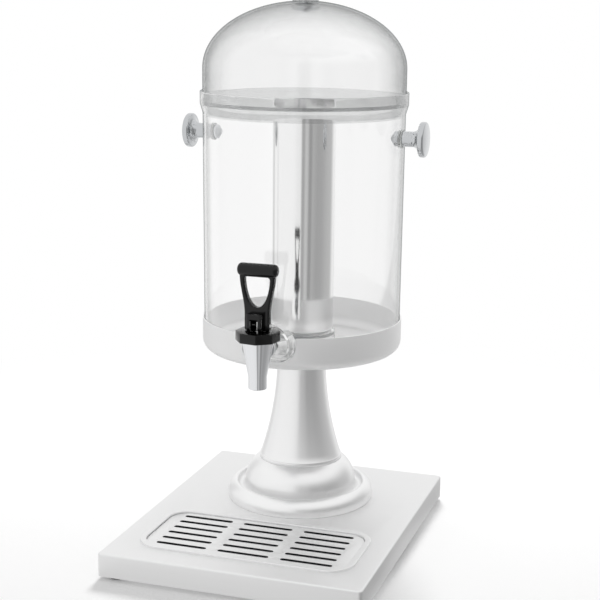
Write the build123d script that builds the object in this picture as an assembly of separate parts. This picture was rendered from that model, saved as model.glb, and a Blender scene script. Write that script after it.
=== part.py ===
from build123d import *
import os
from math import radians, sqrt, tan

# Juice dispenser: a clear tank with an ice tube and a lever tap, held in a steel cup on a pedestal.
# Millimetres, +Z up, the tap faces -Y. The origin lies on the table, under the middle of the base.

# Base: a folded sheet box, open below, with a return lip that carries the feet
base_width = 260.0
base_depth = 325.0
base_height = 23.0
base_sheet = 1.2
base_corner_radius = 4.0
base_fold_radius = 2.0
base_lip_width = 30.0
foot_height = 4.0
foot_diameter = 18.0
foot_edge_radius = 1.0
foot_inset = 15.0
foot_screw_diameter = 4.0
foot_screw_clearance = 0.2
foot_screw_head_diameter = 8.0
foot_screw_head_height = 1.6
foot_screw_recess = 2.2
foot_screw_past_nut = 1.0
foot_nut_flats = 7.0
foot_nut_height = 3.2
stiffener_width = 150.0
stiffener_depth = 120.0
stiffener_sheet = 2.0
stiffener_flange = 10.0

# Drip tray and its grille, let into the base top in front of the pedestal
tray_width = 216.0
tray_depth = 104.0
tray_corner_radius = 26.0
tray_front_margin = 30.0
tray_sheet = 1.0
tray_rim_width = 5.0
tray_rim_height = 1.6
tray_rim_round = 0.7
tray_ledge_width = 4.0
tray_ledge_drop = 1.6
tray_well_depth = 14.0
tray_well_radius = 3.0
tray_opening_clearance = 0.8
grille_thickness = 1.5
grille_clearance = 0.5
slot_width = 5.0
slot_columns = 3
slot_rows = 6
slot_column_gap = 12.0
slot_side_margin = 13.0
slot_end_margin = 7.0

# Pedestal: a stepped spun flange and a trumpet column, pulled together by a tie rod
axis_setback = 58.0
flange_radius = 76.0
flange_sheet = 1.5
roll_section_radius = 15.0
roll_centre_height = 4.0
groove_outer_radius = 65.5
groove_edge_radius = 2.2
groove_depth = 8.0
bell_radius = 57.5
bell_height = 43.0
bell_shoulder_height = 20.0
bell_bulge = 3.0
bell_lip_margin = 0.8
bell_lip_inner_radius = 30.0
column_foot_radius = 42.0
column_top_radius = 25.0
column_height = 117.0
column_flare_depth = 4.8
column_sheet = 1.5
column_ring_height = 3.6
column_ring_step = 0.8
tie_rod_diameter = 10.0
tie_rod_clearance = 0.5
tie_rod_top_gap = 1.0
tie_rod_past_nut = 2.0
tie_washer_diameter = 24.0
tie_washer_thickness = 2.0
tie_nut_flats = 16.0
tie_nut_height = 8.0
hub_height = 14.0
hub_clearance = 0.6
thread_clearance = 0.05

# Support cup: a deep drawn dish with a notch for the tap boss
cup_radius = 102.3
cup_height = 34.0
cup_sheet = 1.2
cup_corner_radius = 12.0
notch_clearance = 1.5

# Tank: a moulded clear vessel with draft and a tap boss, a flared rim and an ice tube seat bonded to it
tank_side_clearance = 0.7
tank_height = 262.3
tank_wall = 3.0
tank_floor = 4.5
tank_draft_angle = 0.29
tank_corner_radius = 13.0
collar_radius = 104.4
collar_wall = 2.3
collar_depth = 12.0
collar_taper_height = 9.5
collar_blend_radius = 5.0
mouth_edge_radius = 0.8
rim_bond_drop = 2.0
ice_seat_radius = 34.0
ice_seat_height = 14.0
ice_seat_wall = 4.0
boss_width = 48.0
boss_bottom = 11.8
boss_shoulder = 32.8
boss_top = 48.8
boss_projection = 12.1
boss_wall = 3.5
boss_corner_radius = 10.0
boss_edge_radius = 3.0

# Ice tube: a polished tube with a closed foot, screwed down on its seat
ice_tube_diameter = 63.6
ice_tube_wall = 1.5
ice_tube_length = 229.0
ice_tube_foot_radius = 3.0
ice_gasket_thickness = 1.5
ice_stud_diameter = 8.0
ice_stud_clearance = 0.4
ice_stud_past_nut = 1.5
ice_washer_diameter = 20.0
ice_washer_thickness = 1.5
ice_nut_flats = 13.0
ice_nut_height = 6.5

# Knobs: turned mushroom knobs, two on the tank and one on the lid
knob_drop = 43.5
knob_length = 24.5
knob_stem_diameter = 15.2
knob_stem_length = 9.0
knob_head_diameter = 34.8
knob_head_thickness = 6.0
knob_edge_radius = 1.8
knob_crown = 1.6
knob_stud_diameter = 6.0
knob_stud_clearance = 0.4
knob_washer_diameter = 18.0
knob_washer_thickness = 1.2
washer_seat_gap = 0.15
cap_nut_diameter = 15.0
cap_nut_length = 3.6
cap_nut_tip = 3.6
cap_nut_tip_diameter = 5.0
cap_nut_thread_depth = 4.4
cap_nut_thread_gap = 0.5

# Lid: a dome whose skirt drops into the flared mouth
lid_wall = 2.5
lid_side_clearance = 0.3
lid_skirt_height = 34.5
lid_dome_rise = 66.0
lid_washer_diameter = 26.0

# Tap: a chrome body on a shank, a bonnet, a spring loaded stem and a cam handle
tap_shank_height = 25.3
tap_shank_diameter = 14.0
tap_shank_bore = 9.0
tap_shank_clearance = 0.3
tap_shank_flange_diameter = 21.0
tap_shank_flange_thickness = 3.0
tap_shank_past_nut = 1.5
tap_gasket_diameter = 19.4
tap_gasket_thickness = 1.5
tap_nut_flats = 17.0
tap_nut_height = 6.0
tap_body_top = 37.5
tap_body_radius = 15.5
tap_cone_height = 35.0
spout_radius = 8.9
spout_length = 12.3
spout_bore_radius = 7.0
spout_edge_radius = 1.2
tap_seat_bore_radius = 5.5
tap_seat_height = 10.0
tap_seat_land = 4.7
tap_chamber_radius = 9.0
tap_thread_radius = 13.5
tap_thread_end_gap = 0.2
bonnet_vertex_radius = 21.4
bonnet_height = 9.6
bonnet_sides = 8
bonnet_turn = 13.0
bonnet_edge_chamfer = 0.8
bonnet_plate = 3.3
bonnet_boss_gap = 1.1
stem_diameter = 5.6
stem_clearance = 0.3
stem_past_pin = 3.5
stem_collar_diameter = 15.0
stem_collar_thickness = 2.0
seat_cup_radius = 8.0
seat_cup_neck_radius = 5.0
seat_cup_height = 9.0
seat_cup_floor = 3.0
spring_wire = 1.2
spring_mean_radius = 6.0
spring_turns = 6
spring_end_gap = 0.1
handle_gap = 0.3
handle_block_width = 14.6
handle_block_depth = 25.0
handle_block_height = 17.5
handle_cam_radius = 5.0
handle_edge_radius = 1.2
handle_slot_width = 7.8
handle_slot_height = 12.4
handle_slot_behind_pin = 5.0
handle_pin_diameter = 3.0
handle_pin_fit = 0.05
loop_top_half_width = 17.4
loop_waist_half_width = 12.3
loop_waist_height = 16.0
loop_thickness = 8.0
loop_shoulder_drop = 4.0
loop_edge_radius = 1.8
gap_half_width = 12.6
gap_height = 29.0
gap_roof_radius = 2.5
bar_height = 57.6
bar_length = 40.0
bar_diameter = 12.6
bar_end_radius = 4.4

# Heights and places that follow from the sizes above
base_top_z = foot_height + base_height
tray_centre_y = -base_depth / 2 + tray_front_margin + tray_depth / 2
tray_ledge_z = base_top_z - tray_ledge_drop
grille_inset = tray_rim_width + tray_sheet + grille_clearance
grille_width = tray_width - 2 * grille_inset
grille_depth = tray_depth - 2 * grille_inset
slot_room = grille_width - 2 * slot_side_margin - (slot_columns - 1) * slot_column_gap
slot_length = slot_room / slot_columns
slot_pitch_across = slot_length + slot_column_gap
slot_pitch_along = (grille_depth - 2 * slot_end_margin - slot_width) / (slot_rows - 1)
column_foot_z = base_top_z + bell_height
cup_bottom_z = column_foot_z + column_height
tank_bottom_z = cup_bottom_z + cup_sheet
tank_top_z = tank_bottom_z + tank_height
tank_foot_radius = cup_radius - cup_sheet - tank_side_clearance
tank_slope = tan(radians(tank_draft_angle))
boss_front = tank_foot_radius + boss_projection
lid_seat_z = tank_top_z - collar_depth
tank_wall_top_z = lid_seat_z - collar_taper_height
rim_bond_z = tank_wall_top_z - rim_bond_drop
tank_floor_z = tank_bottom_z + tank_floor
ice_seat_top_z = tank_floor_z + ice_seat_height
ice_seat_roof_z = ice_seat_top_z - ice_seat_wall
ice_tube_bottom_z = ice_seat_top_z + ice_gasket_thickness
knob_z = tank_top_z - knob_drop
lid_radius = collar_radius - collar_wall - lid_side_clearance
dome_spring_z = lid_seat_z + lid_skirt_height
dome_top_z = dome_spring_z + lid_dome_rise
tap_reach = boss_front + bonnet_boss_gap + bonnet_vertex_radius
tap_axis_y = axis_setback - tap_reach
tap_shank_z = tank_bottom_z + tap_shank_height
tap_shoulder_z = tank_bottom_z + tap_body_top
tap_cone_foot_z = tap_shoulder_z - tap_cone_height
spout_z = tap_cone_foot_z - spout_length
tap_seat_z = tap_cone_foot_z + tap_seat_height
stem_collar_z = tap_seat_z + seat_cup_height
bonnet_top_z = tap_shoulder_z + bonnet_height
handle_foot_z = bonnet_top_z + handle_gap
handle_pin_z = handle_foot_z + handle_cam_radius
thread_margin = 2 * thread_clearance
tool_overrun = 20.0

tank_axis = Pos(0, axis_setback, 0)
tap_axis = Pos(0, tap_axis_y, 0)


def spun(*outline):
    """Turn a closed half section, drawn as radius and height, about Z."""
    return revolve(Plane.XZ * make_face(outline), Axis.Z)


def outline(*points):
    """Close a straight sided section through the given points."""
    return Polyline(*points, close=True)


def tube(outer_diameter, bore, bottom_z, top_z):
    """Make a plain ring or bush about Z."""
    height = top_z - bottom_z
    middle = Pos(0, 0, bottom_z + height / 2)
    return middle * (Cylinder(outer_diameter / 2, height) - Cylinder(bore / 2, height))


def rod(diameter, bottom_z, top_z):
    """Make a plain round bar about Z."""
    height = top_z - bottom_z
    return Pos(0, 0, bottom_z + height / 2) * Cylinder(diameter / 2, height)


def hex_nut(flats, bore, height):
    """Make a hexagon nut that stands on the XY plane."""
    blank = extrude(RegularPolygon(flats / 2, 6, major_radius=False), height)
    return blank - rod(bore, 0, height)


def plan_slab(width, depth, radius, bottom_z, top_z):
    """Make a slab with a rounded rectangular plan about Z."""
    return Pos(0, 0, bottom_z) * extrude(RectangleRounded(width, depth, radius), top_z - bottom_z)


def foot_places():
    """Give the four foot centres under the base."""
    return GridLocations(base_width - 2 * foot_inset, base_depth - 2 * foot_inset, 2, 2)


def tank_outer_radius(z):
    """Give the outside radius of the drafted tank wall at a height."""
    return tank_foot_radius + (z - tank_bottom_z) * tank_slope


def boss_outline(inset):
    """Draw the arch topped front of the tap boss, shrunk or grown by an inset."""
    half = boss_width / 2
    bottom_z = tank_bottom_z + boss_bottom
    shoulder_z = tank_bottom_z + boss_shoulder
    top_z = tank_bottom_z + boss_top
    face = make_face(
        [
            Line((-half, bottom_z), (half, bottom_z)),
            Line((half, bottom_z), (half, shoulder_z)),
            ThreePointArc((half, shoulder_z), (0, top_z), (-half, shoulder_z)),
            Line((-half, shoulder_z), (-half, bottom_z)),
        ]
    )
    corners = face.vertices().group_by(Axis.Y)[0]
    face = fillet(corners, boss_corner_radius)
    return offset(face, -inset) if inset else face


def boss_prism(inset, back_radius, front_radius):
    """Extrude the boss outline forwards, between two distances from the tank axis."""
    plane = Plane((0, -back_radius, 0), x_dir=(1, 0, 0), z_dir=(0, -1, 0))
    return extrude(plane * boss_outline(inset), front_radius - back_radius)


def make_base_cover():
    """Fold the base box, with its return lip, tray opening and holes."""
    lip_z = foot_height + base_sheet
    block = plan_slab(base_width, base_depth, base_corner_radius, foot_height, base_top_z)
    block = fillet(block.faces().sort_by(Axis.Z)[-1].edges(), base_fold_radius)
    inside = plan_slab(
        base_width - 2 * base_sheet,
        base_depth - 2 * base_sheet,
        base_corner_radius - base_sheet,
        lip_z,
        base_top_z - base_sheet,
    )
    inside = fillet(inside.faces().sort_by(Axis.Z)[-1].edges(), base_fold_radius - base_sheet)
    lip_opening = plan_slab(
        base_width - 2 * base_lip_width,
        base_depth - 2 * base_lip_width,
        base_corner_radius,
        foot_height,
        lip_z,
    )
    tray_opening = plan_slab(
        tray_width - 2 * (tray_rim_width - tray_opening_clearance),
        tray_depth - 2 * (tray_rim_width - tray_opening_clearance),
        tray_corner_radius - tray_rim_width + tray_opening_clearance,
        base_top_z - base_sheet,
        base_top_z,
    )
    rod_hole = rod(tie_rod_diameter + 2 * tie_rod_clearance, base_top_z - base_sheet, base_top_z)
    screw_hole = rod(foot_screw_diameter + foot_screw_clearance, foot_height, lip_z)
    cover = block - inside - lip_opening - Pos(0, tray_centre_y, 0) * tray_opening
    cover -= tank_axis * rod_hole
    return cover - [place * screw_hole for place in foot_places()]


def make_base_feet():
    """Turn the four rubber feet, each with a counterbore for its screw head."""
    foot = rod(foot_diameter, 0, foot_height)
    foot = fillet(foot.edges().group_by(Axis.Z)[0], foot_edge_radius)
    foot -= rod(foot_screw_head_diameter + foot_screw_clearance, 0, foot_screw_recess)
    foot -= rod(foot_screw_diameter + foot_screw_clearance, foot_screw_recess, foot_height)
    return [place * foot for place in foot_places()]


def make_foot_screws():
    """Make the four pan head screws that hold the feet."""
    head_z = foot_screw_recess - foot_screw_head_height
    top_z = foot_height + base_sheet + foot_nut_height + foot_screw_past_nut
    screw = rod(foot_screw_head_diameter, head_z, foot_screw_recess)
    screw += rod(foot_screw_diameter, foot_screw_recess, top_z)
    return [place * screw for place in foot_places()]


def make_foot_nuts():
    """Make the four nuts that sit on the return lip."""
    nut = hex_nut(foot_nut_flats, foot_screw_diameter + thread_margin, foot_nut_height)
    nut = Pos(0, 0, foot_height + base_sheet) * nut
    return [place * nut for place in foot_places()]


def make_base_stiffener():
    """Fold the channel that spreads the tie rod's pull under the base top."""
    top_z = base_top_z - base_sheet
    channel = Pos(0, 0, top_z - stiffener_flange / 2) * Box(
        stiffener_width, stiffener_depth, stiffener_flange
    )
    web_z = top_z - stiffener_sheet
    channel -= Pos(0, 0, web_z - stiffener_flange / 2) * Box(
        stiffener_width - 2 * stiffener_sheet, stiffener_depth, stiffener_flange
    )
    channel -= rod(tie_rod_diameter + 2 * tie_rod_clearance, web_z, top_z)
    return tank_axis * channel


def make_drip_tray():
    """Press the tray: a rolled rim on the base top, a ledge for the grille and a well."""
    rim_top_z = base_top_z + tray_rim_height
    rim = plan_slab(tray_width, tray_depth, tray_corner_radius, base_top_z, rim_top_z)
    rim = fillet(rim.faces().sort_by(Axis.Z)[-1].edges(), tray_rim_round)

    def pan(inset, bottom_z, top_z):
        return plan_slab(
            tray_width - 2 * inset, tray_depth - 2 * inset, tray_corner_radius - inset, bottom_z, top_z
        )

    ledge_inset = tray_rim_width
    well_inset = ledge_inset + tray_sheet + tray_ledge_width
    well_floor_z = tray_ledge_z - tray_well_depth
    tray = rim + pan(ledge_inset, tray_ledge_z - tray_sheet, base_top_z)
    well = pan(well_inset, well_floor_z - tray_sheet, tray_ledge_z)
    tray += fillet(well.faces().sort_by(Axis.Z)[0].edges(), tray_well_radius)
    tray -= pan(ledge_inset + tray_sheet, tray_ledge_z, rim_top_z)
    hollow = pan(well_inset + tray_sheet, well_floor_z, tray_ledge_z)
    tray -= fillet(hollow.faces().sort_by(Axis.Z)[0].edges(), tray_well_radius - tray_sheet)
    return Pos(0, tray_centre_y, 0) * tray


def make_drip_grille():
    """Blank the grille plate and punch its three banks of slots."""
    plate = RectangleRounded(grille_width, grille_depth, tray_corner_radius - grille_inset)
    slots = GridLocations(slot_pitch_across, slot_pitch_along, slot_columns, slot_rows)
    plate -= slots * SlotOverall(slot_length, slot_width)
    return Pos(0, tray_centre_y, tray_ledge_z) * extrude(plate, grille_thickness)


def make_pedestal_flange():
    """Spin the flange from one sheet: a fat roll, a deep groove and a bell."""
    roll_centre = flange_radius - roll_section_radius
    roll_start_z = -roll_section_radius / 2
    roll_start = roll_centre + sqrt(roll_section_radius**2 - (roll_centre_height - roll_start_z) ** 2)
    roll_reach = groove_outer_radius - roll_centre
    roll_edge_z = roll_centre_height + sqrt(roll_section_radius**2 - roll_reach**2)
    cove_radius = (groove_outer_radius - bell_radius) / 2
    cove_z = roll_edge_z - groove_depth + cove_radius
    cove_centre = bell_radius + cove_radius
    bell_top_radius = column_foot_radius + column_ring_step + bell_lip_margin
    skin = make_face(
        [
            Polyline(
                (bell_top_radius, bell_height),
                (-tool_overrun, bell_height),
                (-tool_overrun, -tool_overrun),
                (roll_start, -tool_overrun),
                (roll_start, roll_start_z),
            ),
            ThreePointArc(
                (roll_start, roll_start_z),
                (flange_radius, roll_centre_height),
                (groove_outer_radius, roll_edge_z),
            ),
            Line((groove_outer_radius, roll_edge_z), (groove_outer_radius, cove_z)),
            ThreePointArc(
                (groove_outer_radius, cove_z), (cove_centre, cove_z - cove_radius), (bell_radius, cove_z)
            ),
            Line((bell_radius, cove_z), (bell_radius, bell_shoulder_height)),
            SagittaArc((bell_radius, bell_shoulder_height), (bell_top_radius, bell_height), -bell_bulge),
        ]
    )
    core = offset(skin, -flange_sheet, kind=Kind.INTERSECTION)
    edge = skin.vertices().sort_by_distance((groove_outer_radius, roll_edge_z))[0]
    skin = fillet(edge, groove_edge_radius)
    inner_edge = core.vertices().sort_by_distance((groove_outer_radius + flange_sheet, roll_edge_z))[0]
    core = fillet(inner_edge, groove_edge_radius - flange_sheet)
    sheet = skin - core
    width = flange_radius - bell_lip_inner_radius
    window = Pos(bell_lip_inner_radius + width / 2, bell_height / 2) * Rectangle(width, bell_height)
    flange = revolve(Plane.XZ * (sheet & window), Axis.Z)
    return Pos(0, axis_setback, base_top_z) * flange


def make_pedestal_column():
    """Spin the trumpet column, with a narrow ring round its foot."""
    ring_radius = column_foot_radius + column_ring_step
    inner_foot = column_foot_radius - column_sheet
    inner_top = column_top_radius - column_sheet
    column = spun(
        Polyline(
            (inner_foot, column_ring_height),
            (inner_foot, 0),
            (ring_radius, 0),
            (ring_radius, column_ring_height),
            (column_foot_radius, column_ring_height),
        ),
        SagittaArc(
            (column_foot_radius, column_ring_height), (column_top_radius, column_height), column_flare_depth
        ),
        Line((column_top_radius, column_height), (inner_top, column_height)),
        SagittaArc((inner_top, column_height), (inner_foot, column_ring_height), -column_flare_depth),
    )
    return Pos(0, axis_setback, column_foot_z) * column


def make_support_cup():
    """Draw the dish from one sheet and cut the notch that clears the tap boss."""
    skin = make_face(
        outline(
            (-tool_overrun, 0),
            (cup_radius, 0),
            (cup_radius, cup_height + tool_overrun),
            (-tool_overrun, cup_height + tool_overrun),
        )
    )
    corner = skin.vertices().sort_by_distance((cup_radius, 0))[0]
    skin = fillet(corner, cup_corner_radius)
    window = Pos(cup_radius / 2, cup_height / 2) * Rectangle(cup_radius, cup_height)
    cup = revolve(Plane.XZ * ((skin - offset(skin, -cup_sheet)) & window), Axis.Z)
    cup = Pos(0, 0, cup_bottom_z) * cup
    notch = boss_prism(-notch_clearance, cup_radius - cup_corner_radius, cup_radius + tool_overrun)
    return tank_axis * (cup - notch)


def make_cup_hub():
    """Turn the threaded hub welded under the cup, which centres the column."""
    diameter = 2 * (column_top_radius - column_sheet - hub_clearance)
    hub = tube(diameter, tie_rod_diameter + thread_margin, cup_bottom_z - hub_height, cup_bottom_z)
    return tank_axis * hub


def tie_washer_z():
    """Give the height of the tie rod washer's lower face."""
    return base_top_z - base_sheet - stiffener_sheet - tie_washer_thickness


def make_tie_rod():
    """Make the rod that pulls the cup, column and flange down on the base."""
    foot_z = tie_washer_z() - tie_nut_height - tie_rod_past_nut
    return tank_axis * rod(tie_rod_diameter, foot_z, cup_bottom_z - tie_rod_top_gap)


def make_tie_rod_washer():
    """Make the washer under the stiffener."""
    bore = tie_rod_diameter + 2 * tie_rod_clearance
    return tank_axis * tube(tie_washer_diameter, bore, tie_washer_z(), tie_washer_z() + tie_washer_thickness)


def make_tie_rod_nut():
    """Make the nut on the tie rod's lower end."""
    nut = hex_nut(tie_nut_flats, tie_rod_diameter + thread_margin, tie_nut_height)
    return Pos(0, axis_setback, tie_washer_z() - tie_nut_height) * nut


def tank_section():
    """Draw the half sections of the tank with its rim: the outer skin and the hollow inside it."""
    wall_radius = tank_outer_radius(tank_wall_top_z)
    skin = make_face(
        outline(
            (0, tank_bottom_z),
            (tank_foot_radius, tank_bottom_z),
            (wall_radius, tank_wall_top_z),
            (collar_radius, lid_seat_z),
            (collar_radius, tank_top_z),
            (0, tank_top_z),
        )
    )
    floor_corner = skin.vertices().sort_by_distance((tank_foot_radius, tank_bottom_z))[0]
    skin = fillet(floor_corner, tank_corner_radius)
    taper_corners = [
        skin.vertices().sort_by_distance(place)[0]
        for place in ((wall_radius, tank_wall_top_z), (collar_radius, lid_seat_z))
    ]
    skin = fillet(taper_corners, collar_blend_radius)
    rim_corner = skin.vertices().sort_by_distance((collar_radius, tank_top_z))[0]
    skin = fillet(rim_corner, mouth_edge_radius)
    mouth_radius = collar_radius - collar_wall
    floor_radius = tank_outer_radius(tank_floor_z) - tank_wall
    neck_radius = tank_outer_radius(lid_seat_z) - tank_wall
    hollow = make_face(
        outline(
            (0, tank_floor_z),
            (floor_radius, tank_floor_z),
            (neck_radius, lid_seat_z),
            (mouth_radius, lid_seat_z),
            (mouth_radius, tank_top_z),
            (0, tank_top_z),
        )
    )
    inner_corner = hollow.vertices().sort_by_distance((floor_radius, tank_floor_z))[0]
    hollow = fillet(inner_corner, tank_corner_radius - tank_wall)
    return Plane.XZ * skin, Plane.XZ * hollow


def make_tank_vessel():
    """Mould the tank: drafted wall, floor with a hole under the ice tube and hollow tap boss."""
    skin, hollow = tank_section()
    boss = boss_prism(0, tank_foot_radius - tank_corner_radius, boss_front)
    boss = fillet(boss.faces().sort_by(Axis.Y)[0].edges(), boss_edge_radius)
    pocket_back = tank_foot_radius - tank_wall - tank_corner_radius
    pocket = boss_prism(boss_wall, pocket_back, boss_front - boss_wall)
    floor_hole = rod(2 * (ice_seat_radius - ice_seat_wall), tank_bottom_z, tank_floor_z)
    shank_hole = Pos(0, -boss_front, tap_shank_z) * (
        Rot(90, 0, 0) * Cylinder(tap_shank_diameter / 2 + tap_shank_clearance, 4 * boss_wall)
    )
    knob_hole = Pos(0, 0, knob_z) * (
        Rot(0, 90, 0) * Cylinder(knob_stud_diameter / 2 + knob_stud_clearance, 2 * collar_radius)
    )
    vessel = revolve(skin, Axis.Z) + boss
    vessel = vessel - revolve(hollow, Axis.Z) - pocket - floor_hole - shank_hole - knob_hole
    return tank_axis * split(vessel, Plane.XY.offset(rim_bond_z), keep=Keep.BOTTOM)


def make_tank_rim():
    """Mould the flared rim, with a ledge for the lid, that is bonded on the tank wall."""
    skin, hollow = tank_section()
    rim = revolve(skin, Axis.Z) - revolve(hollow, Axis.Z)
    return tank_axis * split(rim, Plane.XY.offset(rim_bond_z), keep=Keep.TOP)


def make_ice_tube_seat():
    """Mould the hollow seat that is bonded over the hole in the tank floor."""
    seat = rod(2 * ice_seat_radius, tank_floor_z, ice_seat_top_z)
    seat -= rod(2 * (ice_seat_radius - ice_seat_wall), tank_floor_z, ice_seat_roof_z)
    seat -= rod(ice_stud_diameter + 2 * ice_stud_clearance, ice_seat_roof_z, ice_seat_top_z)
    return tank_axis * seat


def make_ice_tube():
    """Draw the closed ice tube and weld its stud under the foot."""
    radius = ice_tube_diameter / 2
    bore_radius = radius - ice_tube_wall
    top_z = ice_tube_bottom_z + ice_tube_length
    body = rod(ice_tube_diameter, ice_tube_bottom_z, top_z)
    body = fillet(body.edges().group_by(Axis.Z)[0], ice_tube_foot_radius)
    bore = rod(2 * bore_radius, ice_tube_bottom_z + ice_tube_wall, top_z)
    bore = fillet(bore.edges().group_by(Axis.Z)[0], ice_tube_foot_radius - ice_tube_wall)
    stud_z = ice_seat_roof_z - ice_washer_thickness - ice_nut_height - ice_stud_past_nut
    stud = rod(ice_stud_diameter, stud_z, ice_tube_bottom_z)
    return tank_axis * (body - bore + stud)


def make_ice_tube_gasket():
    """Make the silicone ring between the ice tube and its seat."""
    flat_diameter = ice_tube_diameter - 2 * ice_tube_foot_radius
    bore = ice_stud_diameter + 2 * ice_stud_clearance
    return tank_axis * tube(flat_diameter, bore, ice_seat_top_z, ice_tube_bottom_z)


def make_ice_tube_washer():
    """Make the washer under the seat's roof."""
    bore = ice_stud_diameter + 2 * ice_stud_clearance
    washer_z = ice_seat_roof_z - ice_washer_thickness
    return tank_axis * tube(ice_washer_diameter, bore, washer_z, ice_seat_roof_z)


def make_ice_tube_nut():
    """Make the nut that holds the ice tube down."""
    nut = hex_nut(ice_nut_flats, ice_stud_diameter + thread_margin, ice_nut_height)
    nut_z = ice_seat_roof_z - ice_washer_thickness - ice_nut_height
    return Pos(0, axis_setback, nut_z) * nut


def knob(stud_length):
    """Turn a mushroom knob that stands on the XY plane, with its stud below."""
    stem_radius = knob_stem_diameter / 2
    head_radius = knob_head_diameter / 2
    rim_z = knob_length - knob_crown
    back_z = rim_z - knob_head_thickness
    flare = back_z - knob_stem_length
    flare_radius = stem_radius + flare
    flare_middle = (flare_radius - flare / sqrt(2), knob_stem_length + flare / sqrt(2))
    crown_radius = (head_radius**2 + knob_crown**2) / (2 * knob_crown)
    crown_fall = crown_radius - sqrt(crown_radius**2 - (head_radius / 2) ** 2)
    crown_middle = (head_radius / 2, knob_length - crown_fall)
    stud_radius = knob_stud_diameter / 2
    section = make_face(
        [
            Polyline(
                (0, knob_length),
                (0, -stud_length),
                (stud_radius, -stud_length),
                (stud_radius, 0),
                (stem_radius, 0),
                (stem_radius, knob_stem_length),
            ),
            ThreePointArc((stem_radius, knob_stem_length), flare_middle, (flare_radius, back_z)),
            Polyline((flare_radius, back_z), (head_radius, back_z), (head_radius, rim_z)),
            ThreePointArc((head_radius, rim_z), crown_middle, (0, knob_length)),
        ]
    )
    section = fillet(section.vertices().group_by(Axis.X)[-1], knob_edge_radius)
    return revolve(Plane.XZ * section, Axis.Z)


def cap_nut():
    """Turn a cap nut with a conical tip, standing on the XY plane."""
    radius = cap_nut_diameter / 2
    length = cap_nut_length + cap_nut_tip
    tip_radius = cap_nut_tip_diameter / 2
    body = spun(outline((0, 0), (radius, 0), (radius, cap_nut_length), (tip_radius, length), (0, length)))
    return body - rod(knob_stud_diameter + thread_margin, 0, cap_nut_thread_depth)


def wall_sag(radius):
    """Give how far a round wall falls away under the edge of a knob washer."""
    return radius - sqrt(radius**2 - (knob_washer_diameter / 2) ** 2)


def knob_seats():
    """Give the distances from the tank axis of the knob's seat and of the cap nut's seat."""
    outer_radius = tank_outer_radius(knob_z)
    inner_radius = outer_radius - tank_wall
    outer_seat = outer_radius + knob_washer_thickness
    inner_seat = inner_radius - wall_sag(inner_radius) - knob_washer_thickness
    return outer_seat, inner_seat


def stud_reach(outer_seat, inner_seat):
    """Give a knob's stud length between two seats, ending short of the cap nut's blind end."""
    return outer_seat - inner_seat + cap_nut_thread_depth - cap_nut_thread_gap


def make_tank_knob(side):
    """Set a knob on the tank, on the right for side 1 and on the left for side -1."""
    outer_seat, inner_seat = knob_seats()
    return Pos(side * outer_seat, axis_setback, knob_z) * (
        Rot(0, side * 90, 0) * knob(stud_reach(outer_seat, inner_seat))
    )


def make_knob_cap_nuts():
    """Set the two cap nuts on the studs inside the tank."""
    inner_seat = knob_seats()[1]
    nut = cap_nut()
    return [Pos(side * inner_seat, axis_setback, knob_z) * (Rot(0, -side * 90, 0) * nut) for side in (-1, 1)]


def make_knob_washers():
    """Mould the silicone washers to the tank wall, one inside and one outside for each knob."""
    outer_seat, inner_seat = knob_seats()
    low_z = knob_z - knob_washer_diameter
    high_z = knob_z + knob_washer_diameter
    wall = spun(
        outline(
            (tank_outer_radius(low_z) - tank_wall - washer_seat_gap, low_z),
            (tank_outer_radius(low_z) + washer_seat_gap, low_z),
            (tank_outer_radius(high_z) + washer_seat_gap, high_z),
            (tank_outer_radius(high_z) - tank_wall - washer_seat_gap, high_z),
        )
    )
    bore = knob_stud_diameter + 2 * knob_stud_clearance
    blank = tube(knob_washer_diameter, bore, inner_seat, outer_seat)
    blanks = [Pos(0, 0, knob_z) * (Rot(0, side * 90, 0) * blank) for side in (-1, 1)]
    return [tank_axis * piece for blank in blanks for piece in (blank - wall).solids()]


def make_lid_dome():
    """Mould the lid: a straight skirt under an elliptical dome, bored for the knob."""
    inner_radius = lid_radius - lid_wall
    inner_rise = lid_dome_rise - lid_wall
    dome = spun(
        Line((inner_radius, lid_seat_z), (lid_radius, lid_seat_z)),
        Line((lid_radius, lid_seat_z), (lid_radius, dome_spring_z)),
        EllipticalCenterArc((0, dome_spring_z), lid_radius, lid_dome_rise, start_angle=0, arc_size=90),
        Line((0, dome_top_z), (0, dome_top_z - lid_wall)),
        EllipticalCenterArc((0, dome_spring_z), inner_radius, inner_rise, start_angle=0, arc_size=90),
        Line((inner_radius, dome_spring_z), (inner_radius, lid_seat_z)),
    )
    bore = rod(knob_stud_diameter + 2 * knob_stud_clearance, dome_spring_z, dome_top_z)
    return tank_axis * (dome - bore)


def lid_knob_seats():
    """Give the heights of the lid knob's seat and of its cap nut's seat."""
    inner_radius = lid_radius - lid_wall
    inner_rise = lid_dome_rise - lid_wall
    share = lid_washer_diameter / 2 / inner_radius
    inner_sag = inner_rise * (1 - sqrt(1 - share**2))
    return dome_top_z + knob_washer_thickness, dome_top_z - lid_wall - inner_sag - knob_washer_thickness


def make_lid_knob():
    """Set the knob on the crown of the lid."""
    outer_seat, inner_seat = lid_knob_seats()
    return Pos(0, axis_setback, outer_seat) * knob(stud_reach(outer_seat, inner_seat))


def make_lid_knob_nut():
    """Set the cap nut under the crown of the lid."""
    return Pos(0, axis_setback, lid_knob_seats()[1]) * (Rot(180, 0, 0) * cap_nut())


def make_lid_knob_washers(dome):
    """Mould the silicone washers over and under the crown of the lid."""
    outer_seat, inner_seat = lid_knob_seats()
    bore = knob_stud_diameter + 2 * knob_stud_clearance
    blank = tank_axis * tube(lid_washer_diameter, bore, inner_seat, outer_seat)
    return (blank - dome).solids()


def along_shank(shape):
    """Lay a shape modelled about Z along the tap shank, with its top towards the tap."""
    return Pos(0, axis_setback, tap_shank_z) * (Rot(90, 0, 0) * shape)


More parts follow.
